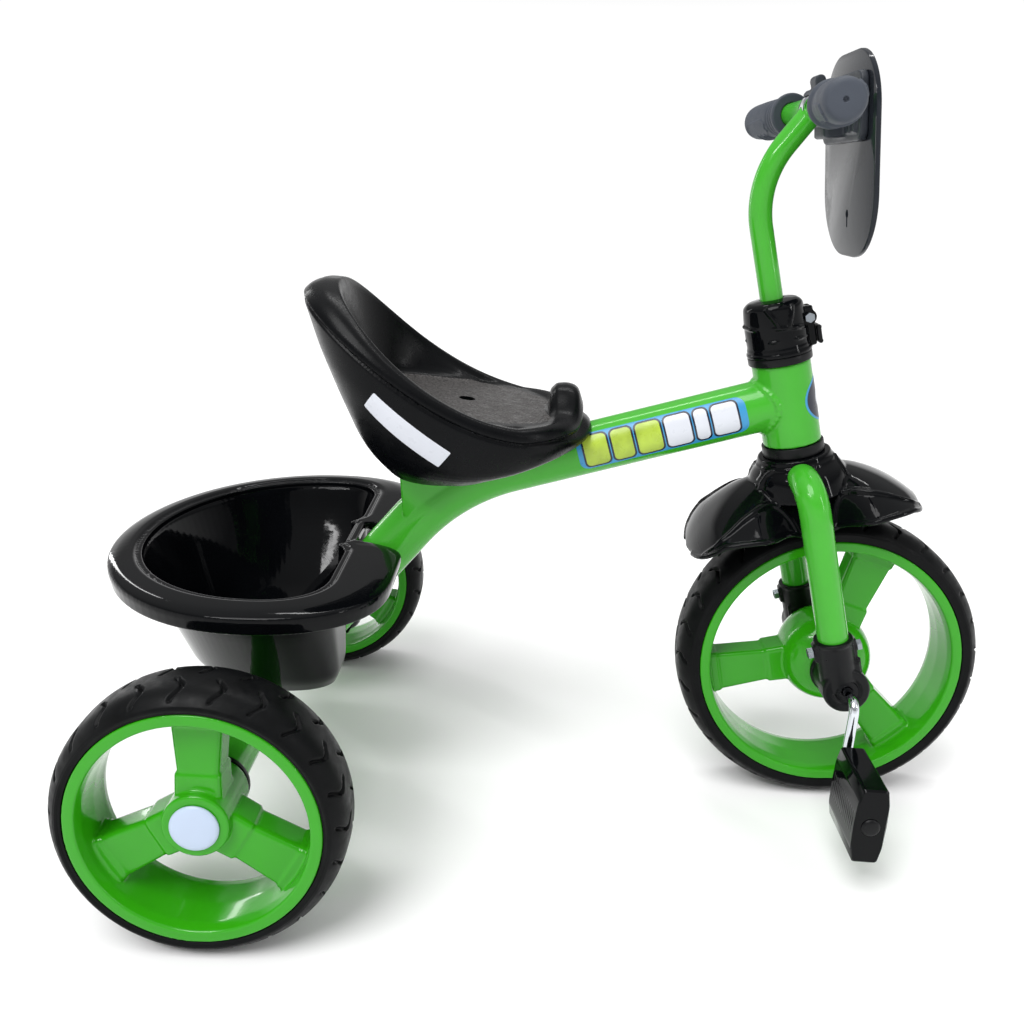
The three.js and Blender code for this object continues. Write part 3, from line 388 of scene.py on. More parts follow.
def turned(profile, sides=96, axis="Y"):
    """Profile of (radius, height) pairs turned about an axis; one that starts off the axis is a closed ring."""
    outline = np.asarray(profile, float)
    angles = all_round(sides)
    radius, height = outline[:, 0], outline[:, 1]
    rows = []
    for a in angles:
        first, second = radius * cos(a), radius * sin(a)
        columns = {"Y": (first, height, second), "Z": (first, second, height), "X": (height, first, second)}[axis]
        rows.append(np.stack(columns, axis=1))
    return skin(rows, wrap=profile[0][0] > 0, loop=True)


def rod(radius, low, high, axis="Y", sides=48, edge=0.6):
    """Round bar along an axis, with rounded ends."""
    return turned(fillet([(0, low), (radius, low), (radius, high), (0, high)], edge, 3), sides, axis)


def swept(points, radius, sides=28):
    """Round bar along a line of points; radius is one number or one for each point."""
    line = [Vector(p) for p in points]
    radii = np.broadcast_to(radius, len(line))
    heading = (line[1] - line[0]).normalized()
    side = heading.orthogonal().normalized()
    rows = []
    for k, point in enumerate(line):
        ahead = (line[min(k + 1, len(line) - 1)] - line[max(k - 1, 0)]).normalized()
        side = (heading.rotation_difference(ahead) @ side).normalized()
        heading = ahead
        other = heading.cross(side)
        rows.append([point + float(radii[k]) * (side * cos(a) + other * sin(a))
                     for a in all_round(sides)])
    return skin(rows)


def dense(points, step=4.0):
    """The same line with points no further apart than the step."""
    line = [Vector(p) for p in points]
    made = [line[0]]
    for a, b in zip(line, line[1:]):
        count = max(1, ceil((b - a).length / step))
        made += [a.lerp(b, (i + 1) / count) for i in range(count)]
    return made


def rounded_rect(half_a, half_b, corner, steps=4):
    """Outline of a rectangle with round corners, as (a, b) pairs."""
    centres = [(1, 1, 0), (-1, 1, 1), (-1, -1, 2), (1, -1, 3)]
    corner = min(corner, half_a * 0.98, half_b * 0.98)
    return [((half_a - corner) * u + corner * cos(q), (half_b - corner) * v + corner * sin(q))
            for u, v, quarter in centres
            for q in np.linspace(quarter * pi / 2, (quarter + 1) * pi / 2, steps + 1)]


def block(x0, x1, y0, y1, z0, z1, corner=1.0):
    """Box with rounded upright edges and eased faces."""
    middle, half = ((x0 + x1) / 2, (y0 + y1) / 2), ((x1 - x0) / 2, (y1 - y0) / 2)
    ease = min(corner * 0.5, (z1 - z0) / 3)
    levels = ((z0, ease), (z0 + ease, 0), (z1 - ease, 0), (z1, ease))
    return skin([[(middle[0] + a, middle[1] + b, z)
                  for a, b in rounded_rect(half[0] - inset, half[1] - inset, corner)] for z, inset in levels])


def plate(outline, low, high, axis="Y", ease=0.6):
    """Flat outline of (a, b) pairs with a thickness along an axis and eased edges."""
    points = np.asarray(outline, float)
    middle = points.mean(axis=0)
    rows = []
    for depth, inset in ((low, ease), (low + ease, 0), (high - ease, 0), (high, ease)):
        spread = points - middle
        reach = np.linalg.norm(spread, axis=1, keepdims=True)
        ring = middle + spread * (1 - inset / np.maximum(reach, inset * 2 + 1e-6))
        level = np.full(len(ring), depth)
        columns = {"Y": (ring[:, 0], level, ring[:, 1]), "X": (level, ring[:, 0], ring[:, 1])}[axis]
        rows.append(np.stack(columns, axis=1))
    return skin(rows)


def moved(shape, matrix):
    verts, faces = shape
    return np.array([matrix @ Vector(v) for v in verts]), faces


def shifted(shape, x, y, z):
    return moved(shape, Matrix.Translation((x, y, z)))


# ---- pieces

def mesh_from(shapes, at):
    """One mesh with its vertices merged and its faces turned outwards."""
    work = bmesh.new()
    for verts, faces in shapes:
        made = [work.verts.new(v) for v in np.asarray(verts).tolist()]
        for face in faces:
            work.faces.new([made[i] for i in face])
    bmesh.ops.remove_doubles(work, verts=work.verts, dist=1e-4)
    bmesh.ops.dissolve_degenerate(work, edges=work.edges, dist=1e-5)
    bmesh.ops.recalc_face_normals(work, faces=work.faces)
    bmesh.ops.transform(work, matrix=at, verts=work.verts)
    if at.determinant() < 0:
        bmesh.ops.reverse_faces(work, faces=work.faces)
    mesh = bpy.data.meshes.new("shape")
    work.to_mesh(mesh)
    work.free()
    return mesh


def applied(obj):
    """Bakes the object's modifiers into its mesh."""
    graph = bpy.context.evaluated_depsgraph_get()
    mesh = bpy.data.meshes.new_from_object(obj.evaluated_get(graph))
    obj.modifiers.clear()
    obj.data = mesh


def new_object(name, shapes, at):
    return linked(bpy.data.objects.new(name, mesh_from(shapes, at)))


def combine(obj, tool, operation):
    """Joins the tool to the object, or cuts it from it, and discards the tool."""
    modifier = obj.modifiers.new("cut", "BOOLEAN")
    modifier.operation = operation
    modifier.solver = "MANIFOLD"
    modifier.object = tool
    applied(obj)
    bpy.data.objects.remove(tool)


def piece(name, shapes, at, body, material, slot=None, nodes=None, joined=False, minus=(), voxel=0, smooth=4,
          crease=32):
    """A piece from overlapping shapes: melted together with soft fillets when voxel is given, or joined.
    It replaces the CAD node of its own name, unless told otherwise; the slot it works out is not used."""
    slot = slot or SLOTS[material.name]
    nodes = [name] if nodes is None else nodes
    obj = new_object(name, shapes[:1] if joined else shapes, at)
    if joined:
        for shape in shapes[1:]:
            combine(obj, new_object("tool", [shape], at), "UNION")
    if voxel:
        melt = obj.modifiers.new("melt", "REMESH")
        melt.mode = "VOXEL"
        melt.voxel_size = voxel * MM
        soften = obj.modifiers.new("soften", "SMOOTH")
        soften.factor = 0.5
        soften.iterations = smooth
        applied(obj)
    for shape in minus:
        combine(obj, new_object("tool", [shape], at), "DIFFERENCE")
    obj.data.polygons.foreach_set("use_smooth", [True] * len(obj.data.polygons))
    obj.data.set_sharp_from_angle(angle=radians(crease))
    obj.data.materials.clear()
    obj.data.materials.append(material)
    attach(obj, body)
    if nodes:
        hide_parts(*nodes)
    return obj


def steering_piece(name, shapes, material, **options):
    """A piece that turns with the fork, drawn along the steering axis."""
    return piece(name, shapes, STEERING, "steering", material, **options)


# ---- wheels

GROOVE_PITCH = 27
GROOVE_DEPTH = 2.4
GROOVE_HALF = 1.8
GROOVE_STEPS = 34
GROOVE_START, GROOVE_REACH = 2.5, 19.5      # from the tyre's middle line outwards
GROOVE_SWING = 3.6
CROWN_DROP, CROWN_POWER = 9.5, 3.3
SPOKES = 3


def grooves(arc, across, pitch):
    """Depth of the S-shaped tread grooves at an arc length and a distance from the tyre's middle line."""
    along = np.clip((np.abs(across) - GROOVE_START) / GROOVE_REACH, 0, 1)
    side = np.where(across > 0, 0.0, pitch / 2)
    line = side + (GROOVE_SWING - 1.2 * along) * np.cos(2 * pi * along) + 1.5 * along
    away = np.abs((arc - line + pitch / 2) % pitch - pitch / 2)
    wall = np.clip((GROOVE_HALF - away) / 0.8, 0, 1)
    ends = np.clip(along / 0.07, 0, 1) * np.clip((1 - along) / 0.1, 0, 1)
    return GROOVE_DEPTH * wall * wall * (3 - 2 * wall) * ends


def tyre(name, outer, rim_r, at, body):
    """Foam tyre with a domed, grooved tread and a rounded shoulder, bedded in the rim."""
    half = WHEEL_WIDTH / 2
    crown = [(outer - CROWN_DROP * abs(y / half) ** CROWN_POWER, y) for y in np.linspace(-half, half, 57)]
    bead = fillet([(outer - 9.7, half), (outer - 10.4, half + 0.55), (outer - 11.8, half + 0.3),
                   (rim_r + 2, half - 0.2), (rim_r + 0.4, half - 0.4), (rim_r + 0.4, half - 4),
                   (rim_r - 5.2, half - 4)], 0.6, 3)
    other = [(r, -y) for r, y in reversed(bead)]
    section = np.array([*crown, *bead, *other])
    count = round(2 * pi * outer / GROOVE_PITCH)
    pitch = 2 * pi * outer / count
    tread = np.arange(len(section)) < len(crown)
    rows = []
    for angle in all_round(count * GROOVE_STEPS):
        depth = np.where(tread, grooves(angle * outer, section[:, 1], pitch), 0)
        radius = section[:, 0] - depth
        rows.append(np.stack((radius * cos(angle), section[:, 1], radius * sin(angle)), axis=1))
    piece(name, [skin(rows, loop=True)], at, body, FOAM, crease=60)


def spoke(hub_r, rim_r, angle):
    """Box-section spoke that widens outwards, with a stepped collar at each end."""
    start, end = hub_r - 10, rim_r - 8.6
    length = end - hub_r
    inner, outer = hub_r + length * 0.2, end - length * 0.15
    rows = []
    for r, half_width, half_thick in ((start, 16, 12.6), (inner - 0.8, 15.4, 12.4), (inner + 0.8, 14.2, 11),
                                      (outer - 0.6, 16.8, 11), (outer + 0.6, 17.8, 12), (end - 2.5, 18.2, 12.2),
                                      (end, 20.5, 14)):
        rows.append([(r, b, -a) for a, b in rounded_rect(half_width, half_thick, 3.6, 6)])
    return moved(skin(rows), Matrix.Rotation(-angle, 4, "Y"))


def wheel_rim(name, rim_r, hub, hub_r, bores, first_spoke, at, body):
    """Three-spoked wheel with a lip each side."""
    half = WHEEL_WIDTH / 2
    lip = [(rim_r - 5.5, half - 3.7), (rim_r, half - 3.7), (rim_r, half), (rim_r - 8, half), (rim_r - 9.7, half - 7)]
    section = fillet([*lip, (rim_r - 10.4, 0), *[(r, -y) for r, y in reversed(lip)]], 1.0, 3, closed=True)
    spokes = [spoke(hub_r, rim_r, first_spoke + i * 2 * pi / SPOKES) for i in range(SPOKES)]
    piece(name, [turned(section, 192), turned(hub, 120), *spokes], at, body, WHEEL_GREEN,
          voxel=0.9, minus=bores, crease=50)


def wheels():
    """Front wheel, and the rear wheels with their hub caps."""
    tyre("front_tyre", FRONT_R, FRONT_RIM_R, DRIVE, "front_wheel")
    hub = fillet([(0, -HUB_END_Y), (20, -HUB_END_Y), (33, -22), (38, -10), (38, 10), (33, 22), (20, HUB_END_Y),
                  (0, HUB_END_Y)], 7, 6)
    wheel_rim("front_rim", FRONT_RIM_R, hub, 38, [rod(CRANK_R + TURN_GAP, -40, 40)], FRONT_SPOKE, DRIVE,
              "front_wheel")
    hub = fillet([(0, -25.5), (REAR_HUB_R, -25.5), (REAR_HUB_R, REAR_HUB_OUT), (0, REAR_HUB_OUT)], 2, 4)
    bores = [rod(AXLE_ROD_R + TURN_GAP, -40, 40), rod(12.5, 8, 40)]
    dome = fillet([(16.3, 19.5), (16.4, 20.6), (14.5, 22), (8, 22.8), (0, 23)], [0.3, 1, 2, 3, 0], 4)
    cap = [(0, 19.8), (10, 19.8), (10, 15.8), (12, 15.8), (12, 19.5), *dome]
    for name, side in SIDES:
        at = sided(BIKE @ Matrix.Translation((0, side * TRACK / 2, REAR_R)), side)
        body = f"rear_wheel_{name}"
        tyre(f"rear_tyre_{name}", REAR_R, REAR_RIM_R, at, body)
        wheel_rim(f"rear_rim_{name}", REAR_RIM_R, hub, REAR_HUB_R, bores, REAR_SPOKE, at, body)
        piece(f"rear_hub_cap_{name}", [turned(cap)], at, body, NYLON)


# ---- frame

TUBE_RUN = Vector((cos(TUBE_DROP), 0, sin(TUBE_DROP)))
TUBE_ABOVE = Vector((-sin(TUBE_DROP), 0, cos(TUBE_DROP)))
SEAT_BRIDGE = (106, 206)        # X of its back and front


def tube_height(x):
    """Height of the straight front run's centre line."""
    return TUBE_BEND_Z + tan(TUBE_DROP) * (x - TUBE_BEND_X)


def tube_start():
    """Where the main tube's centre line meets the steering axis."""
    x = WHEELBASE - TUBE_JOINT * sin(RAKE)
    return Vector((x, 0, tube_height(x)))


def main_tube_line():
    """Centre line from the head tube back to the rear axle."""
    centre = Vector((TUBE_BEND_X + TUBE_BEND_R * sin(TUBE_DROP), 0,
                     TUBE_BEND_Z - TUBE_BEND_R * cos(TUBE_DROP)))
    bend = [centre + TUBE_BEND_R * Vector((-sin(a), 0, cos(a)))
            for a in np.linspace(TUBE_DROP, TUBE_FALL, 24)]
    return dense([tube_start(), *bend, (0, 0, REAR_R)], 6)


def weld_line(ring_r, reach):
    """Where a cylinder round the front run of the main tube meets the head tube."""
    start = Vector((TUBE_BEND_X, 0, TUBE_BEND_Z))
    foot, axis = Vector((WHEELBASE, 0, FRONT_R)), Vector((-sin(RAKE), 0, cos(RAKE)))
    line = []
    for angle in all_round(96):
        point = start + ring_r * (TUBE_ABOVE * cos(angle) + Vector((0, sin(angle), 0)))
        offset, flat = (v - axis * v.dot(axis) for v in (point - foot, TUBE_RUN))
        half_b, c = offset.dot(flat), offset.dot(offset) - reach ** 2
        line.append(point + TUBE_RUN * ((-half_b - sqrt(half_b ** 2 - flat.dot(flat) * c)) / flat.dot(flat)))
    return line


def weld(line, radius, ripples):
    """Bead of weld round a closed line, with the scales of a torch pass."""
    count = len(line)
    rows = []
    for k, point in enumerate(line):
        ahead = (line[(k + 1) % count] - line[k - 1]).normalized()
        side = ahead.cross(Vector((0, 0, 1))).normalized()
        other = ahead.cross(side)
        size = radius * (1 + 0.14 * sin(2 * pi * ripples * k / count))
        rows.append([point + size * (side * cos(a) + other * sin(a))
                     for a in all_round(12)])
    return skin(rows, loop=True)


def seat_bridge():
    """Folded plate over the main tube that the seat is bolted to."""
    half, thick = 19, 3
    back, front = SEAT_BRIDGE
    cheek = [(back + 2, tube_height(115) - 18), (front, tube_height(front)), (front, SEAT_PLATE_Z - 1),
             (back - 4, SEAT_PLATE_Z - 1)]
    outline = fillet(cheek, 5, 4, closed=True)
    return [plate(outline, half - thick, half), plate(outline, -half, thick - half),
            block(back - 4, front, -half, half, SEAT_PLATE_Z - thick, SEAT_PLATE_Z, 3)]


def frame_piece():
    """Tubes, seat bridge and basket tabs, melted together at their welds, then bored."""
    to_bike = BIKE.inverted() @ STEERING
    head_line = [(0, HEAD_LOW), (HEAD_R, HEAD_LOW), (HEAD_R, HEAD_TOP), (0, HEAD_TOP)]
    head = moved(turned(fillet(head_line, 0.8, 3), 96, "Z"), to_bike)
    axle = shifted(rod(AXLE_TUBE_R, -AXLE_TUBE_HALF, AXLE_TUBE_HALF, sides=64, edge=1), 0, 0, REAR_R)
    tabs = [block(-14, 14, side * BASKET_SCREW_Y - 9, side * BASKET_SCREW_Y + 9, REAR_R + 8, 116.7, 3)
            for _, side in SIDES]
    bead = weld(weld_line(TUBE_R - 0.3, HEAD_R + 0.4), 2.4, 34)
    bores = [moved(rod(HEAD_BORE_R, HEAD_LOW - 5, HEAD_TOP + 5, "Z"), to_bike),
             *[shifted(rod(AXLE_TUBE_BORE_R, low, low + 27), 0, 0, REAR_R)
               for low in (AXLE_TUBE_HALF - 22, -AXLE_TUBE_HALF - 5)]]
    bores += [shifted(rod(3.2, 315, SEAT_PLATE_Z + 5, "Z", 24), x, 0, 0) for x in SEAT_BOLT_X]
    shapes = [swept(main_tube_line(), TUBE_R, 56), head, axle, *seat_bridge(), *tabs, bead]
    piece("frame", shapes, BIKE, "body", PAINT, voxel=1.0, smooth=3, minus=bores, crease=45)


# ---- stickers

BAND_MIDDLE = 104       # distance back from the head along the main tube
BAND_HALF_LENGTH = 68
CHIP_START = BAND_MIDDLE + 64.5
CHIP_HALF_LENGTHS = (11, 9.6, 11.2, 11.4, 6.6, 11.4)
CHIP_HALF_GAP = 0.4
LIME_CHIPS = 3
BADGE_Z = 224
BADGE_HALF_HEIGHT, BADGE_HALF_WIDTH = 19, 26


def on_tube(along, around, lift):
    """Point on the main tube's front run: millimetres back from the head, and up round its side."""
    angle = around / TUBE_R + 0.1
    out = TUBE_ABOVE * sin(angle) - Vector((0, cos(angle), 0))
    return tube_start() - TUBE_RUN * along + (TUBE_R + lift) * out


def on_head(along, around, lift):
    """Point on the head tube: distance up it, and millimetres round it from straight ahead."""
    angle = around / HEAD_R
    return Vector(((HEAD_R + lift) * cos(angle), (HEAD_R + lift) * sin(angle), along))


def sticker(name, outline, surface, at, material, lift):
    """Thin printed film over a curved surface, from a star-shaped outline of (along, around) pairs."""
    corners = np.asarray(outline, float)
    points = []
    for start, end in zip(corners, np.roll(corners, -1, axis=0)):
        count = max(1, ceil(np.linalg.norm(end - start) / 1.2))
        points += [start + (end - start) * i / count for i in range(count)]
    middle = corners.mean(axis=0)
    levels = [(share, lift) for share in (0.02, *np.linspace(0.1, 0.97, 10))]
    levels += [(1, lift - 0.06), (1, -0.1), (0.5, -0.1), (0.02, -0.1)]
    rows = [[surface(*(middle + (point - middle) * share), level) for point in points] for share, level in levels]
    piece(name, [skin(rows)], at, "body", material, nodes=(), crease=60)


def stickers():
    """Plain coloured chips on a blue band along the tube, and a plain oval badge on the head."""
    def outline(centre, half_length, half_height, corner):
        return [(centre + a, b) for a, b in rounded_rect(half_length, half_height, corner, 8)]

    for name, side in SIDES:
        at = sided(BIKE, -side)
        sticker(f"tube_band_{name}", outline(BAND_MIDDLE, BAND_HALF_LENGTH, 15.5, 8), on_tube, at, DECAL_BLUE, 0.15)
        along = CHIP_START
        for k, half in enumerate(CHIP_HALF_LENGTHS):
            along -= half + CHIP_HALF_GAP
            colour = DECAL_LIME if k < LIME_CHIPS else DECAL_WHITE
            sticker(f"tube_chip_edge_{name}_{k}", outline(along, half, 14.2, 5), on_tube, at, DECAL_NAVY, 0.25)
            sticker(f"tube_chip_{name}_{k}", outline(along, half - 1.5, 12.7, 4), on_tube, at, colour, 0.35)
            along -= half + CHIP_HALF_GAP
    for name, share, lift, material in (("rim", 1, 0.15, DECAL_BLUE), ("field", 0.92, 0.25, DECAL_NAVY),
                                        ("spot", 0.45, 0.35, DECAL_WHITE)):
        oval = [(BADGE_Z + BADGE_HALF_HEIGHT * share * cos(a), BADGE_HALF_WIDTH * share * sin(a))
                for a in all_round(48)]
        sticker(f"head_badge_{name}", oval, on_head, STEERING, material, lift)


# ---- seat

SEAT_COLUMNS = 192
SEAT_SQUARENESS = 2.5       # 2 is an ellipse
SEAT_GRAIN_INSET = 20
SEAT_RIM_FRONT = (205, 333)         # X and Z where the rim begins to climb
SEAT_FLOOR_FRONT = (159, 338)
SEAT_HORN = 20
SEAT_HEM_Z = 283
DRAIN_X = 158
LABEL_MIDDLE = Vector((119, -87, 331))
LABEL_RUN = Vector((0.8, -0.085, -0.594))
LABEL_RISE = Vector((0.57, -0.4, 0.72)).normalized()
LABEL_HALF_LENGTH, LABEL_HALF_HEIGHT = 36, 8.2


def seat_rim_z(x):
    """Height of the rim, which climbs towards the back."""
    start, height = SEAT_RIM_FRONT
    back = np.maximum(0, start - np.maximum(x, SEAT_MID_X - SEAT_HALF_LENGTH))
    return height + 0.16 * back + 0.00312 * back * back


def seat_floor_z(x):
    """Height of the sitting surface, which falls towards the front."""
    start, height = SEAT_FLOOR_FRONT
    return height - 0.125 * (x - start) + 0.0009 * np.maximum(0, 110 - x) ** 2


def seat_ring(grow, height, lean=0, tuck=0):
    """Ring of the seat, grown outwards; its back leans out and its front is tucked in."""
    turn = all_round(SEAT_COLUMNS)
    c, s = np.cos(turn), np.sin(turn)
    power = 2 / SEAT_SQUARENESS
    x = (SEAT_MID_X + np.sign(c) * np.abs(c) ** power * (SEAT_HALF_LENGTH + grow)
         - lean * np.maximum(0, -c) ** 2 - tuck * np.maximum(0, c) ** 6)
    y = np.sign(s) * np.abs(s) ** power * (SEAT_HALF_WIDTH + grow)
    return np.stack((x, y, height(x, y)), axis=1)


def seat_hem(grow):
    """Lower edge of the seat's skirt."""
    def hem_z(x, _):
        along = (x - SEAT_MID_X) / SEAT_HALF_LENGTH
        return SEAT_HEM_Z + 34 * np.maximum(0, along - 0.05) ** 1.5 + 26 * np.maximum(0, -along - 0.1) ** 2
    return seat_ring(-24 + grow, hem_z, -26, -22)


def between(upper, lower, share, belly):
    """Ring between two others, bellied outwards."""
    point = upper + (lower - upper) * share
    out = point - np.array((SEAT_MID_X, 0, 0))
    out[:, 2] = 0
    return point + out / np.linalg.norm(out, axis=1, keepdims=True) * belly * 4 * share * (1 - share)


def seat():
    """Bucket shell with a rolled rim and a horn in front, on two bosses."""
    rim_x, rim_y, _ = seat_ring(0, lambda x, _: x).T
    horn = SEAT_HORN * np.exp(-((np.abs(rim_y) / 25) ** 2.8)) * np.clip((rim_x - 208) / 20, 0, 1)

    def crest(drop, share=1.0):
        return lambda *_: seat_rim_z(rim_x) + share * horn - drop

    def floor(drop):
        return lambda x, y: seat_floor_z(x) - drop

    def inner_wall(x, y):
        return np.maximum(crest(6)(x, y), seat_floor_z(x))

    outer, hem = seat_ring(1, crest(12.6, 0.4), 16), seat_hem(0)
    inside, inner_hem = seat_ring(-3.5, crest(17, 0), 14), seat_hem(-4)
    rings = [(seat_ring(-96, floor(0)), 0), (seat_ring(-60, floor(0)), 6), (seat_ring(-24, floor(0), 0, 2), 9),
             (seat_ring(-12.5, inner_wall, 0, 13), 2), (seat_ring(-9.5, crest(0.9), 0, 11), 1.5),
             (seat_ring(-4, crest(0), 6, 7), 4), (seat_ring(0, crest(3.2), 12, 3), 4),
             (seat_ring(1.2, crest(8, 0.6), 16, 0), 1.6), (seat_ring(1.2, crest(9.2, 0.5), 16), 0.6),
             (seat_ring(-0.7, crest(10, 0.5), 14.6), 0.5), (seat_ring(-0.7, crest(11.6, 0.4), 14.6), 0.5), (outer, 1),
             (between(outer, hem, 0.25, 8), 6), (between(outer, hem, 0.5, 9), 12), (between(outer, hem, 0.8, 17), 14),
             (hem + np.array((0, 0, 1.5)), 5), (inner_hem, 1.2), (between(inside, inner_hem, 0.5, 6), 8),
             (seat_ring(-3.5, crest(15, 0), 14), 3), (seat_ring(-8.5, crest(13, 0), 2, 5), 3),
             (seat_ring(-19, floor(4)), 6), (seat_ring(-60, floor(4)), 4), (seat_ring(-96, floor(4)), 0)]
    rows = fillet([ring for ring, _ in rings], [radius for _, radius in rings], 4)
    bosses = [shifted(rod(9, SEAT_PLATE_Z + GAP, seat_floor_z(x) - 1, "Z"), x, 0, 0) for x in SEAT_BOLT_X]
    bolt_room = [shifted(rod(2.9, SEAT_PLATE_Z - 2, seat_floor_z(x) - 1.5, "Z", 24), x, 0, 0) for x in SEAT_BOLT_X]
    back, front = SEAT_BRIDGE
    room = [swept(main_tube_line(), TUBE_R + TUBE_ROOM, 40),
            block(back - 6, front + 2, -20, 20, 320, SEAT_PLATE_Z + GAP, 0.5),
            shifted(rod(6.5, 320, 350, "Z", edge=0.1), DRAIN_X, 0, 0), *bolt_room]
    shell = piece("seat", [skin(rows), *bosses], BIKE, "body", SEAT_BLACK, voxel=0.85, smooth=2, minus=room)
    shell.data.materials.append(SEAT_GRAIN)
    for face in shell.data.polygons:
        x, y, z = to_bike(face.center)
        across = (abs((x - SEAT_MID_X) / (SEAT_HALF_LENGTH - SEAT_GRAIN_INSET)) ** SEAT_SQUARENESS
                  + abs(y / (SEAT_HALF_WIDTH - SEAT_GRAIN_INSET)) ** SEAT_SQUARENESS)
        if face.normal.z > 0.7 and across < 1 and abs(z - seat_floor_z(x)) < 1.3:
            face.material_index = 1
    blank_label(shell)


def blank_label(shell):
    """Plain pale label lying on the right side of the seat shell."""
    def on_shell(along, around, lift):
        guess = LABEL_MIDDLE + LABEL_RUN * along + LABEL_RISE * around
        guess = Vector(((guess.x - ORIGIN_X) * MM, guess.y * MM, guess.z * MM))
        _, spot, normal, _ = shell.closest_point_on_mesh(guess)
        return to_bike(spot) + normal * lift

    outline = rounded_rect(LABEL_HALF_LENGTH, LABEL_HALF_HEIGHT, 1, 3)
    sticker("seat_label", outline, on_shell, BIKE, DECAL_WHITE, 0.35)


# ---- basket

BASKET_MID_X = 18       # where it is widest
BASKET_SHOULDER = 0.85
BASKET_RIM = (      # each ring: below the top, in from the back and side, front, corner, notch, rounding
    (4, 23, 26, 68, 96, 64, 1.5), (0.4, 20, 23, 71, 95, 65, 1.5), (0, 17, 20, 74, 94, 66, 3),
    (1.2, 8, 8.5, 95, 88, 70, 5), (4, 2, 2, 109, 84, 70, 2), (5.6, 0.8, 0.8, 110.4, 84, 70, 0.5),
    (6.2, 2.2, 2.2, 109, 84, 70, 0.4), (7, 0.8, 0.8, 110.4, 84, 70, 0.5), (17.5, 2.6, 2.6, 108, 84, 70, 1),
    (17.5, 5.4, 5.4, 105, 84, 69, 1), (9, 6, 6, 102, 84, 68, 2), (7, 20, 23, 70, 96, 62, 2))


def basket_ring(z, back, half, front, corner, notch):
    """Outline from the back round to the notched front, mirrored across the middle."""
    mid_x = BASKET_MID_X
    quarter = [(mid_x - (mid_x - back) * cos(a), half * sin(a))
               for a in np.linspace(0, pi / 2, 28, endpoint=False)]
    shoulder = [(mid_x + (front - mid_x) * sin(a) ** BASKET_SHOULDER,
                 corner + (half - corner) * cos(a) ** BASKET_SHOULDER)
                for a in np.linspace(0, pi / 2, 20, endpoint=False)]
    lobe = fillet([(front, corner), (front, CHANNEL_HALF + 14), (front - 10, CHANNEL_HALF + 3),
                   ((front + notch) / 2, CHANNEL_HALF), (notch, CHANNEL_HALF - 2), (notch, 8), (notch, 0)],
                  [0, 9, 6, 3, 3, 3, 0], 4)
    side = [*quarter, *shoulder, *[tuple(p) for p in lobe[:-1]]]
    other = [(x, -y) for x, y in reversed(side[1:])]
    return np.array([(x, y, z) for x, y in [*side, *other]])


def tube_channel(room, half):
    """Space under and ahead of the main tube's upper face."""
    slope = tan(TUBE_FALL)
    reach = (TUBE_R + room) / sin(TUBE_FALL)

    def at(z):
        return (z - REAR_R) / slope - reach
    return plate([(at(80), 80), (260, 80), (260, 240), (at(240), 240)], -half, half, "Y", 0.01)


def basket():
    """Bowl with a broad rolled rim and a skirt, hollowed and notched for the main tube."""
    top, back, half = BASKET_RIM_Z, BASKET_BACK_X, BASKET_HALF_WIDTH
    rings = [basket_ring(top - drop, back + behind, half - beside, *front)
             for drop, behind, beside, *front, _ in BASKET_RIM]
    ring = fillet(rings, [row[-1] for row in BASKET_RIM], 3, closed=True)

    def bowl(grow, low):
        return skin(fillet([
            basket_ring(top - 2 + grow, back + 23 - grow, 137 + grow, 68 + grow, 96, 64 + grow),
            basket_ring(190, -93 - grow, 125 + grow, 66 + grow, 86, 62 + grow),
            basket_ring(low + 12, -72 - grow, 88 + grow, 64 + grow, 66, 57 + grow),
            basket_ring(low, -62 - grow, 78 + grow, 59 + grow, 56, 50 + grow)], [0, 14, 6, 0], 5))

    mouth = [basket_ring(z, back + 26, 134, 65, 93, 61) for z in (top + 5, top - 8)]
    hollow = new_object("hollow", [bowl(-BASKET_WALL, BASKET_FLOOR_Z)], BIKE)
    combine(hollow, new_object("tool", [skin(mouth)], BIKE), "UNION")
    channel = tube_channel(BASKET_WALL + TUBE_ROOM, CHANNEL_HALF + BASKET_WALL)
    combine(hollow, new_object("tool", [channel], BIKE), "DIFFERENCE")
    body = new_object("basket_body", [bowl(0, BASKET_FLOOR_Z - BASKET_WALL)], BIKE)
    combine(body, new_object("tool", [skin(ring, loop=True)], BIKE), "UNION")
    combine(body, hollow, "DIFFERENCE")
    combine(body, new_object("tool", [tube_channel(TUBE_ROOM, CHANNEL_HALF)], BIKE), "DIFFERENCE")
    shape = (np.array([v.co / MM for v in body.data.vertices]), [tuple(p.vertices) for p in body.data.polygons])
    bpy.data.objects.remove(body)
    holes = [shifted(rod(2.2, 110, 130, "Z", 24), -ORIGIN_X, side * BASKET_SCREW_Y, 0) for _, side in SIDES]
    piece("basket", [shape], Matrix.Scale(MM, 4), "body", GLOSS, voxel=0.9, smooth=9, crease=50, minus=holes)


# ---- fork, bushes and brackets

def leg_line():
    """Centre line of both fork legs and the crown between them."""
    legs = [(LEG_BACK, y, z) for y, z in ((-LEG_HALF_SPAN, LEG_LOW), (-LEG_HALF_SPAN, CROWN_Z),
                                          (LEG_HALF_SPAN, CROWN_Z), (LEG_HALF_SPAN, LEG_LOW))]
    return dense(fillet(legs, CROWN_BEND_R, 14))


def fork():
    shapes = [swept(leg_line(), LEG_R, 48), rod(STEERER_R, CROWN_Z, STEERER_TOP, "Z", 64)]
    steering_piece("fork", shapes, PAINT, joined=True)


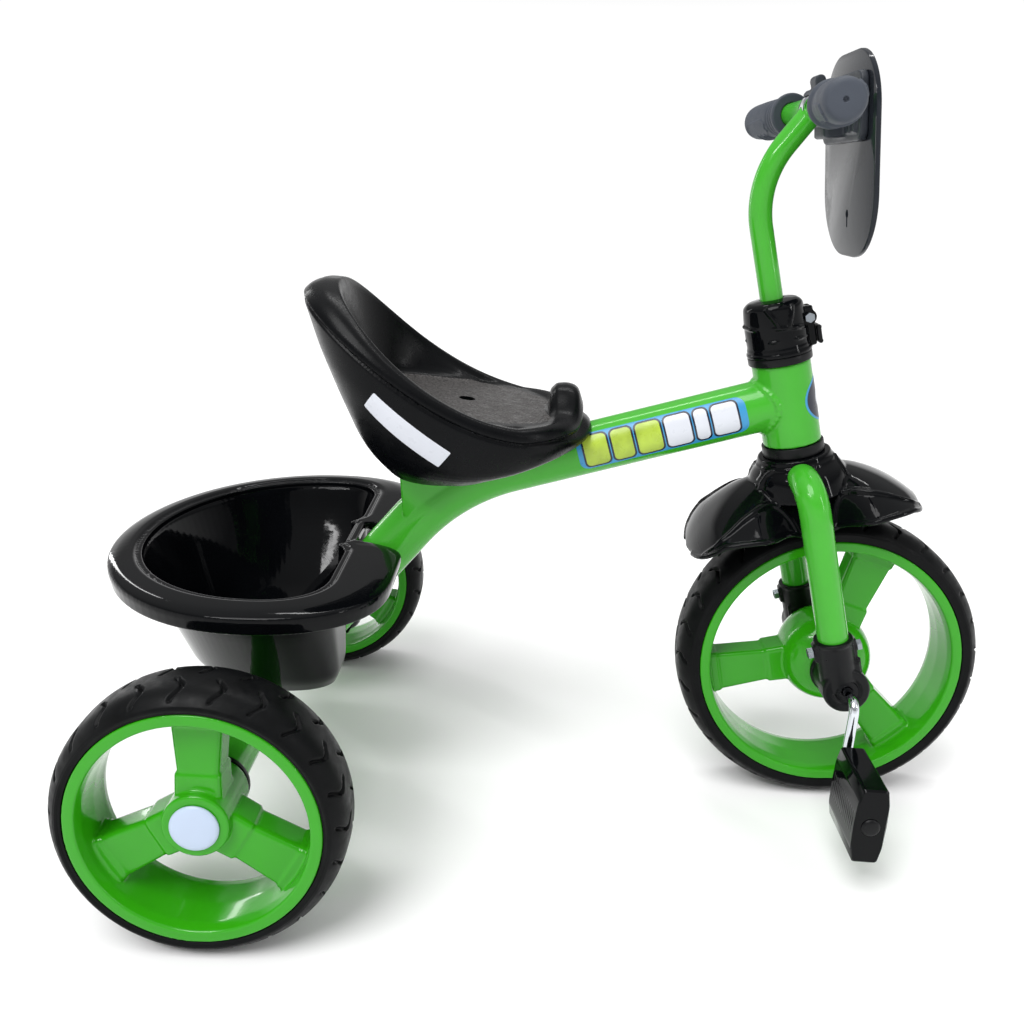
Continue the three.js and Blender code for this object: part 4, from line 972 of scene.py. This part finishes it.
def head_bush(name, flange_low, flange_high, sleeve_low, sleeve_high, flange_r):
    """Bush between the steerer and the head tube, with its flange above or below its sleeve."""
    bore, sleeve = STEERER_R + TURN_GAP, HEAD_BORE_R - 0.5
    if sleeve_high > flange_high:
        profile = [(bore, flange_low), (flange_r, flange_low), (flange_r, flange_high), (sleeve, flange_high),
                   (sleeve, sleeve_high), (bore, sleeve_high)]
    else:
        profile = [(bore, sleeve_low), (sleeve, sleeve_low), (sleeve, flange_low), (flange_r, flange_low),
                   (flange_r, flange_high), (bore, flange_high)]
    piece(name, [turned(fillet(profile, 0.8, 3, closed=True), 96, "Z")], STEERING, "body", SATIN)


def bushes():
    """Plastic bushes of the head tube and of the axle tube."""
    head_bush("lower_head_bush", 181.6, 190, 189, 210, 24.5)
    head_bush("upper_head_bush", HEAD_TOP + GAP, 263.4, 236, 258, 25)
    inner = AXLE_TUBE_HALF + GAP
    profile = fillet([(AXLE_ROD_R + 0.4, inner - 18), (13, inner - 18), (13, inner), (22, inner), (22, inner + 3.4),
                      (AXLE_ROD_R + 0.4, inner + 3.4)], 0.6, 3, closed=True)
    for name, side in SIDES:
        at = sided(BIKE @ Matrix.Translation((0, 0, REAR_R)), side)
        piece(f"axle_bush_{name}", [turned(profile)], at, "body", SATIN)


def axle_brackets():
    """Socket clamped on each fork leg, with a barrel across it for the crank's bush."""
    low, high, r = BRACKET_IN_Y, BRACKET_OUT_Y, BRACKET_R
    barrel = turned(fillet([(0, low), (r + 1.5, low), (r + 1.5, low + 3), (r, low + 4), (r, high - 1.5),
                            (r - 1.5, high), (11.5, high), (11, high - 1.2), (0, high - 1.2)], 0.5, 3))
    socket = turned(fillet([(0, 0), (14.7, 0), (14.7, 38.5), (15.4, 39.2), (15.4, 42), (0, 42)], 0.7, 3), 80, "Z")
    ears = [block(LEG_BACK - 17, LEG_BACK + 17, LEG_HALF_SPAN - 5, LEG_HALF_SPAN + 5, 24, 40, 2.5),
            shifted(rod(5, LEG_BACK - 17, LEG_BACK + 17, "X"), 0, LEG_HALF_SPAN, BRACKET_BOLT_Z)]
    ribs = [block(3 - r, r - 3, y - 1.2, y + 1.2, 0, 24, 1) for y in (45, 61)]
    web = block(4.5 - r, r - 4.5, low + 9, high - 3, 0, 22, 2)
    cuts = [shifted(rod(LEG_R + GAP, LEG_LOW - GAP, 60, "Z"), LEG_BACK, LEG_HALF_SPAN, 0), rod(9.3, 0, 90),
            shifted(rod(2.8, -40, 40, "X", 24), 0, LEG_HALF_SPAN, BRACKET_BOLT_Z)]
    shapes = [barrel, shifted(socket, LEG_BACK, LEG_HALF_SPAN, 0), *ears, web, *ribs]
    bore = CRANK_R + TURN_GAP
    bush = fillet([(bore, low - 0.7), (8.8, low - 0.7), (8.8, high), (bore, high)], 0.5, 3, closed=True)
    for name, side in SIDES:
        at = sided(STEERING, side)
        piece(f"axle_bracket_{name}", shapes, at, "steering", SATIN, voxel=0.7, smooth=3, minus=cuts, crease=50)
        piece(f"crank_bush_{name}", [turned(bush)], at, "steering", SATIN)


# ---- fender

FENDER_BACK = radians(-40)
FENDER_FRONT = radians(35.5)
FENDER_NECK, FENDER_SPREAD = 41, 21        # half width at the boss, and how much wider it grows
FENDER_CREST, FENDER_EDGE = 170, 118        # distances from the front axle
FENDER_LINES = (((-36, 0.93), (-27, 0.80), (-20, 0.66), (-12, 0.62), (-7.5, 0.84), (-6, 0.98)),
                ((33, 0.86), (26, 0.74), (18, 0.66), (10, 0.66), (7, 0.84), (6, 0.97)))
FENDER_RIB = ((31.6, 176, 0.24), (34.5, 171, 0.06), (38, 166, 0), (40.5, 160, -0.02), (43, 152, 0))


def fender_point(angle, across, lift):
    """Point on the fender: angle from the steering axis, share of its half width, distance off its skin."""
    away = min(1, max(0, (abs(angle) - 0.12) / 0.2))
    end = angle / (FENDER_BACK if angle < 0 else FENDER_FRONT)
    taper = sqrt(max(0.02, 1 - min(1, end) ** 6))
    half = (FENDER_NECK + FENDER_SPREAD * away * away * (3 - 2 * away)) * taper
    crest = FENDER_CREST - 17 * (angle / 0.7) ** 2
    edge = FENDER_EDGE + 34 * min(1, abs(angle) / 0.5)
    radius = crest + (edge - crest) * abs(across) ** 2.4 + lift
    return Vector((radius * sin(angle), (half + min(0, lift)) * across, radius * cos(angle)))


def ridge(knots, radius, lift, side):
    """Raised line on the fender through (angle in degrees, share across) knots, thin at its ends."""
    line = [(radians(a), side * w) for a, w in knots]
    smooth = fillet([np.array(p) for p in line], 0.2, 6)
    count = len(smooth)
    sizes = [radius * (0.45 + 0.55 * sin(pi * (k + 0.5) / count)) for k in range(count)]
    return swept([fender_point(a, w, lift) for a, w in smooth], sizes, 14)


def fender():
    """Thin saddle over the tyre, with a hollow boss under the head, rolled lips and raised lines."""
    shares = np.linspace(-1, 1, 41)

    def strip(angle, lift):
        return [fender_point(angle, w, lift) for w in shares]

    angles = np.linspace(FENDER_BACK, FENDER_FRONT, 71)
    shell = skin([[*strip(a, 0), *reversed(strip(a, -2.6))] for a in angles])
    boss = turned(fillet([(0, 164.5), (33, 163), (40.6, 150), (42, 150), (38, 166), (31.5, 174), (31.5, 175.5),
                          (30, 176.6), (28.6, 181.3), (0, 181.3)], [0, 3, 0.5, 0.5, 6, 1, 1, 1, 1, 0], 4), 96, "Z")
    lip_angles = np.linspace(FENDER_BACK * 0.985, FENDER_FRONT * 0.985, 90)
    lips = [swept([fender_point(a, side * 0.985, -0.6) for a in lip_angles], 2.1, 14) for side in (1, -1)]
    lines = [ridge(knots, 2.6, 0.2, side) for side in (1, -1) for knots in FENDER_LINES]
    collar = [swept([(r * cos(turn + w), r * sin(turn + w), z) for r, z, w in FENDER_RIB],
                    (1, 1.5, 1.6, 1.4, 0.8), 12) for turn in np.radians(range(30, 390, 60))]
    cuts = [swept(leg_line(), LEG_R + GAP, 48), rod(STEERER_R + GAP, 120, 200, "Z")]
    steering_piece("fender", [shell, boss, *lips, *lines, *collar], GLOSS, voxel=0.9, smooth=3, minus=cuts, crease=45)


# ---- crank and pedals

def crank():
    """One bent rod: an axle with an arm and a pedal spindle at each end."""
    half = [(CRANK_ARM_Y, 0), (CRANK_ARM_Y, CRANK_LENGTH), (PEDAL_OUT_Y - 6, CRANK_LENGTH)]
    line = fillet([(0, y, z) for y, z in [*[(-y, -z) for y, z in reversed(half)], *half]], 9, 10)
    piece("crank", [swept(dense(line, 3), CRANK_R, 32)], CRANK, "front_wheel", CHROME)


def pedals():
    """Block with a shallow tread, two windows with reflectors and a cap on the spindle's end."""
    h, t = PEDAL_HALF_HEIGHT, PEDAL_HALF_THICK
    inner, outer = PEDAL_IN_Y, PEDAL_OUT_Y
    half = [(t - 3, -h), (t - 0.5, -h + 12), (t, 0), (t - 0.5, h - 12), (t - 3, h)]
    section = fillet([*half, *[(-x, -z) for x, z in half]], 2.2, 4, closed=True)
    body = plate(section, inner, outer, "Y", 1.4)
    cuts = [block(t - 1.5, t + 5, inner + 10, outer - 12, z, z + 11, 2) for z in (-h + 7, h - 18)]
    cuts += [block(-t - 5, 0.28 - t, y, y + 1.6, -h + 5, h - 5, 0.5) for y in inner + 5 + 3.4 * np.arange(14)]
    cuts += [block(t - 0.7, t + 5, inner + 5, outer - 5, z, z + 1.2, 0.4) for z in (-8, -4.6, 3.4, 6.8)]
    cuts += [rod(CRANK_R + TURN_GAP, inner - 2, outer + 2)]
    bars = [block(t - 1.4, t - 0.5, inner + 11.5, outer - 13.5, z - 4, z + 4, 0.4) for z in (-h + 12.5, h - 12.5)]
    cap = fillet([(0, outer - 5.5), (CRANK_R, outer - 5.5), (CRANK_R, outer + 0.3), (7, outer + 0.3),
                  (5.5, outer + 2), (0, outer + 2.4)], [0, 0.2, 0, 0.5, 1.2, 0], 3)
    for name, side in SIDES:
        at = sided(CRANK @ Matrix.Translation((0, 0, side * CRANK_LENGTH)), side)
        piece(f"pedal_{name}", [body], at, f"pedal_{name}", GLOSS, minus=cuts, crease=30)
        piece(f"pedal_reflector_{name}", bars, at, f"pedal_{name}", DECAL_WHITE, slot="white_nylon", nodes=())
        piece(f"pedal_cap_{name}", [turned(cap, 48)], at, "front_wheel", SATIN)


# ---- handlebar, grips and clamp

def bar_shapes(radius, sides=48):
    """Bent stem and swept bar, which meet at the bar's middle."""
    bend = [(STEM_BEND_R * (1 - cos(a)), 0, STEM_BEND_START + STEM_BEND_R * sin(a))
            for a in np.linspace(0, STEM_LEAN, 24)]
    stem = [(0, 0, STEM_LOW), *bend, BAR_CENTRE]
    other = [Vector((p.x, -p.y, p.z)) for p in (BAR_ELBOW, BAR_END)]
    bar = fillet([BAR_END, BAR_ELBOW, *other], 20, 10)
    return [swept(dense(stem), radius, sides), swept(dense(bar), radius, sides)]


def handlebar():
    """Handlebar with the weld where its stem meets the bar."""
    foot = BAR_CENTRE - STEM_END * (BAR_R - 2)
    ring = [foot + Vector((-STEM_END.z * sin(a), cos(a), STEM_END.x * sin(a))) * BAR_R
            for a in all_round(64)]
    steering_piece("handlebar", [*bar_shapes(BAR_R), weld(ring, 1.3, 20)], PAINT, voxel=0.8, smooth=3, crease=50)


def onto_arm():
    """Matrix from a grip's own frame to the left arm's end, Y along the arm."""
    turn = Vector((0, 1, 0)).rotation_difference((BAR_END - BAR_ELBOW).normalized())
    return Matrix.Translation(BAR_END) @ turn.to_matrix().to_4x4()


def grips():
    """Sleeve with a flange, ribs, raised side panels and finger rings under it."""
    bore, low = BAR_R + GAP, -GRIP_LENGTH
    ribs = [(14.9 - 1.0 * (k % 2), low + 12 + 2.2 * k) for k in range(5)]
    line = [(bore, low), (16.5, low), (17, low + 2), (16.5, low + 5), (13.6, low + 8), *ribs, (15.0, low + 23),
            (15.0, low + 40), (14.4, -4), (13.7, 1.5), (11.5, 4.6), (1.8, 5), (1.6, 2.6), (0.02, 2.6), (0.02, 1),
            (bore, 1)]
    radii = [0.6, 1.2, 1.2, 1, 1, *[0.5] * 5, 1, 4, 3, 2, 2, 0.4, 0.2, 0, 0, 0.2]
    panel = fillet([(-38, -7.5), (-8, -6), (-4, 0), (-8, 6), (-38, 7.5), (-44, 3), (-41, 0), (-44, -3)], 1.5, 3,
                   closed=True)
    panels = [skin([[(r * cos(turn + w / 15), y, r * sin(turn + w / 15)) for y, w in panel] for r in (14.2, 15.9)])
              for turn in (0.35, pi + 0.35)]
    under = Matrix.Rotation(pi / 2, 4, "Y")
    rings = [swept([(15.6 * cos(a), y, 15.6 * sin(a)) for a in np.linspace(-0.9, 0.9, 20)], 0.9, 10)
             for y in (-20, -27, -34)]
    shapes = [turned(fillet(line, radii, 4, closed=True), 96), *panels, *[moved(ring, under) for ring in rings]]
    for name, side in SIDES:
        at = sided(STEERING, side) @ onto_arm()
        piece(f"grip_{name}", shapes, at, "steering", GRIP, voxel=0.55, smooth=2, crease=50)


CLAMP_LINES = (     # (height, degrees from the front) knots of each raised line, and its radius
    (((283, 30), (285, 60), (287, 95), (288, 150), (289, 180)), 1.6), (((303, 62), (295, 70), (287, 78)), 1.7),
    (((303, 118), (295, 104), (287, 95)), 1.7), (((275, 24), (276, 60), (277, 110), (278, 180)), 1.0))


def on_collar(height, angle, lift):
    """Point on the clamp's domed collar."""
    heights = (263, 269, 271, 283, 294, 302, 306)
    radii = (25, 25, 24.2, 24.3, 23.8, 22.8, 19)
    r = float(np.interp(height, heights, radii)) + lift
    return (r * cos(angle), r * sin(angle), height)


def stem_clamp():
    """Split collar with bolted lugs and raised lines, and a small latch in front."""
    collar = turned(fillet([(0, 263.7), (25.4, 263.7), (25.4, 266.6), (24.6, 267.2), (24.6, 269.4), (24, 271),
                            (24.3, 283), (23.8, 294), (22.8, 302.5), (19, 306), (10.5, 307), (0, 307)],
                           [0, 0.8, 0.5, 0.5, 0.6, 0.6, 6, 5, 2, 2, 1, 0], 4), 96, "Z")
    lugs = [block(10, 29, side * 4.1 - 2.9, side * 4.1 + 2.9, 265.5, 297, 2) for _, side in SIDES]
    lugs += [shifted(rod(6.2, low, high), *CLAMP_BOLT) for low, high in ((1.2, 7), (-7, -1.2))]
    lines = []
    for side in (1, -1):
        for knots, radius in CLAMP_LINES:
            smooth = fillet([np.array(k) for k in knots], 4, 5)
            lines.append(swept([on_collar(z, side * radians(a), 0.1) for z, a in smooth], radius, 12))
    cuts = [rod(STEERER_R + GAP, 250, STEERER_TOP + GAP, "Z"), rod(BAR_R + 0.5, 280, 320, "Z"),
            block(9, 40, -1.2, 1.2, 255, 315, 0.3), shifted(rod(2.7, -20, 20, sides=24), *CLAMP_BOLT)]
    cuts += [block(18, 40, low, low + 13, 282.3, 293.7, 0.3) for low in (7, -20)]
    steering_piece("stem_clamp", [collar, *lugs, *lines], GLOSS, voxel=0.6, smooth=3, minus=cuts, crease=45)
    rolls = [shifted(rod(1.9, -8, 8), 31.6, 0, z) for z in (279, 268)]
    steering_piece("clamp_latch", [block(29.5, 33.2, -8, 8, 267, 280, 1.2), *rolls], SATIN, voxel=0.5, smooth=2,
                   crease=50)


# ---- front shield

def shield_outline(half_width, low, high, low_r, high_r, steps=16):
    """Rectangle whose lower and upper corners are rounded differently, as (Y, Z) pairs."""
    corners = [(half_width - low_r, low + low_r, low_r, -90), (half_width - high_r, high - high_r, high_r, 0),
               (high_r - half_width, high - high_r, high_r, 90), (low_r - half_width, low + low_r, low_r, 180)]
    return [(y + r * cos(radians(start + a)), z + r * sin(radians(start + a)))
            for y, z, r, start in corners for a in np.linspace(0, 90, steps + 1)]


SHIELD_SECTION = ((0, 1.2), (0.3, 0.4), (1, 0), (3, 0), (3.7, 0.4), (4, 1.2), (4, 6), (3.4, 7), (3.4, 30))


def screw_holes(radius):
    x, y, z = SHIELD_SCREW
    return [shifted(rod(radius, -20, 20, "X", 24), x, side * y, z) for _, side in SIDES]


def shield():
    """Dished plate on a ribbed bracket that straps to the middle of the bar."""
    half_width, half_height = 60, 74
    edge = shield_outline(half_width, -half_height, half_height, 48, 42)
    rows = [[(depth, y * (1 - inset / half_width), z * (1 - inset / half_height)) for y, z in edge]
            for depth, inset in SHIELD_SECTION]
    keyhole = [shifted(rod(3.2, -20, 20, "X", 32), 0, 0, -42), block(-5, 9, -1.3, 1.3, -52, -42, 0.5)]
    piece("shield_plate", [skin(rows)], SHIELD, "steering", SMOKED, minus=[*screw_holes(2), *keyhole])
    pad = plate(shield_outline(46, 10, 58, 8, 8, 6), -6.3, -0.3, "X", 1)
    frame_bar = plate(shield_outline(40, 16, 52, 6, 6, 6), -8, -2, "X", 1)
    ribs = [block(-9, -2, y - 1.2, y + 1.2, 16, 52, 0.5) for y in (-38, -27, 27, 38)]
    arms = block(-22, -3, -15, 15, 14, 52, 3)
    to_steering = STEERING.inverted() @ SHIELD
    shapes = [moved(s, to_steering) for s in (pad, frame_bar, arms, *ribs)]
    shapes += [block(47, 72, -14, 14, 428, 454, 4), block(52, 60, -8, 8, 452, 461, 2),
               shifted(rod(4, -8, 8), 56, 0, 459)]
    for_plate = [moved(s, to_steering) for s in (block(-0.3, 40, -80, 80, -90, 90, 0.1), *screw_holes(1.7))]
    for_strap = shifted(rod(BAR_R + 2.4, -6.3, 6.3, edge=0.1), *BAR_CENTRE)
    steering_piece("shield_bracket", shapes, BRACKET_GREY, voxel=0.75, smooth=2,
                   minus=[*bar_shapes(BAR_R + 0.5, 32), *for_plate, for_strap], crease=45)
    inner, outer = BAR_R + GAP, BAR_R + 1.9
    strap = turned(fillet([(inner, -6), (outer, -6), (outer, 6), (inner, 6)], 0.4, 3, closed=True), 72)
    steering_piece("bar_strap", [shifted(strap, *BAR_CENTRE)], CHROME, minus=bar_shapes(inner, 40)[:1])
    head = fillet([(0, 4.3), (3.4, 4.3), (4, 4.9), (3.4, 6), (1.2, 6.3), (0, 6.3)], 0.4, 3)
    screw = [turned(head, 48, "X"), rod(1.4, -6, 5, "X", 24)]
    cross = [block(5.4, 8, -y, y, -z, z, 0.1) for y, z in ((2.6, 0.5), (0.5, 2.6))]
    x, y, z = SHIELD_SCREW
    for name, side in SIDES:
        at = SHIELD @ Matrix.Translation((x, side * y, z))
        piece(f"shield_screw_{name}", screw, at, "steering", STEEL, joined=True, minus=cross)


# ---- carried-over hardware

def hardware():
    """Bolts, nuts and the axle keep their CAD shape, with eased edges and a metal finish."""
    kept = ["rear_axle", "seat_bolt_rear", "seat_bolt_front", "clamp_bolt", "clamp_nut"]
    fixings = ("basket_screw", "bracket_bolt", "bracket_nut", "rear_axle_nut")
    kept += [f"{stem}_{name}" for name, _ in SIDES for stem in fixings]
    for node in kept:
        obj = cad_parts[node]
        obj.data.materials.clear()
        obj.data.materials.append(STEEL)
        ease = obj.modifiers.new("ease", "BEVEL")
        ease.width = 0.35 * MM
        ease.segments = 2
        ease.limit_method = "ANGLE"
        ease.angle_limit = radians(40)


camera()
studio()
wheels()
frame_piece()
stickers()
seat()
basket()
fork()
bushes()
axle_brackets()
fender()
crank()
pedals()
handlebar()
grips()
stem_clamp()
shield()
hardware()
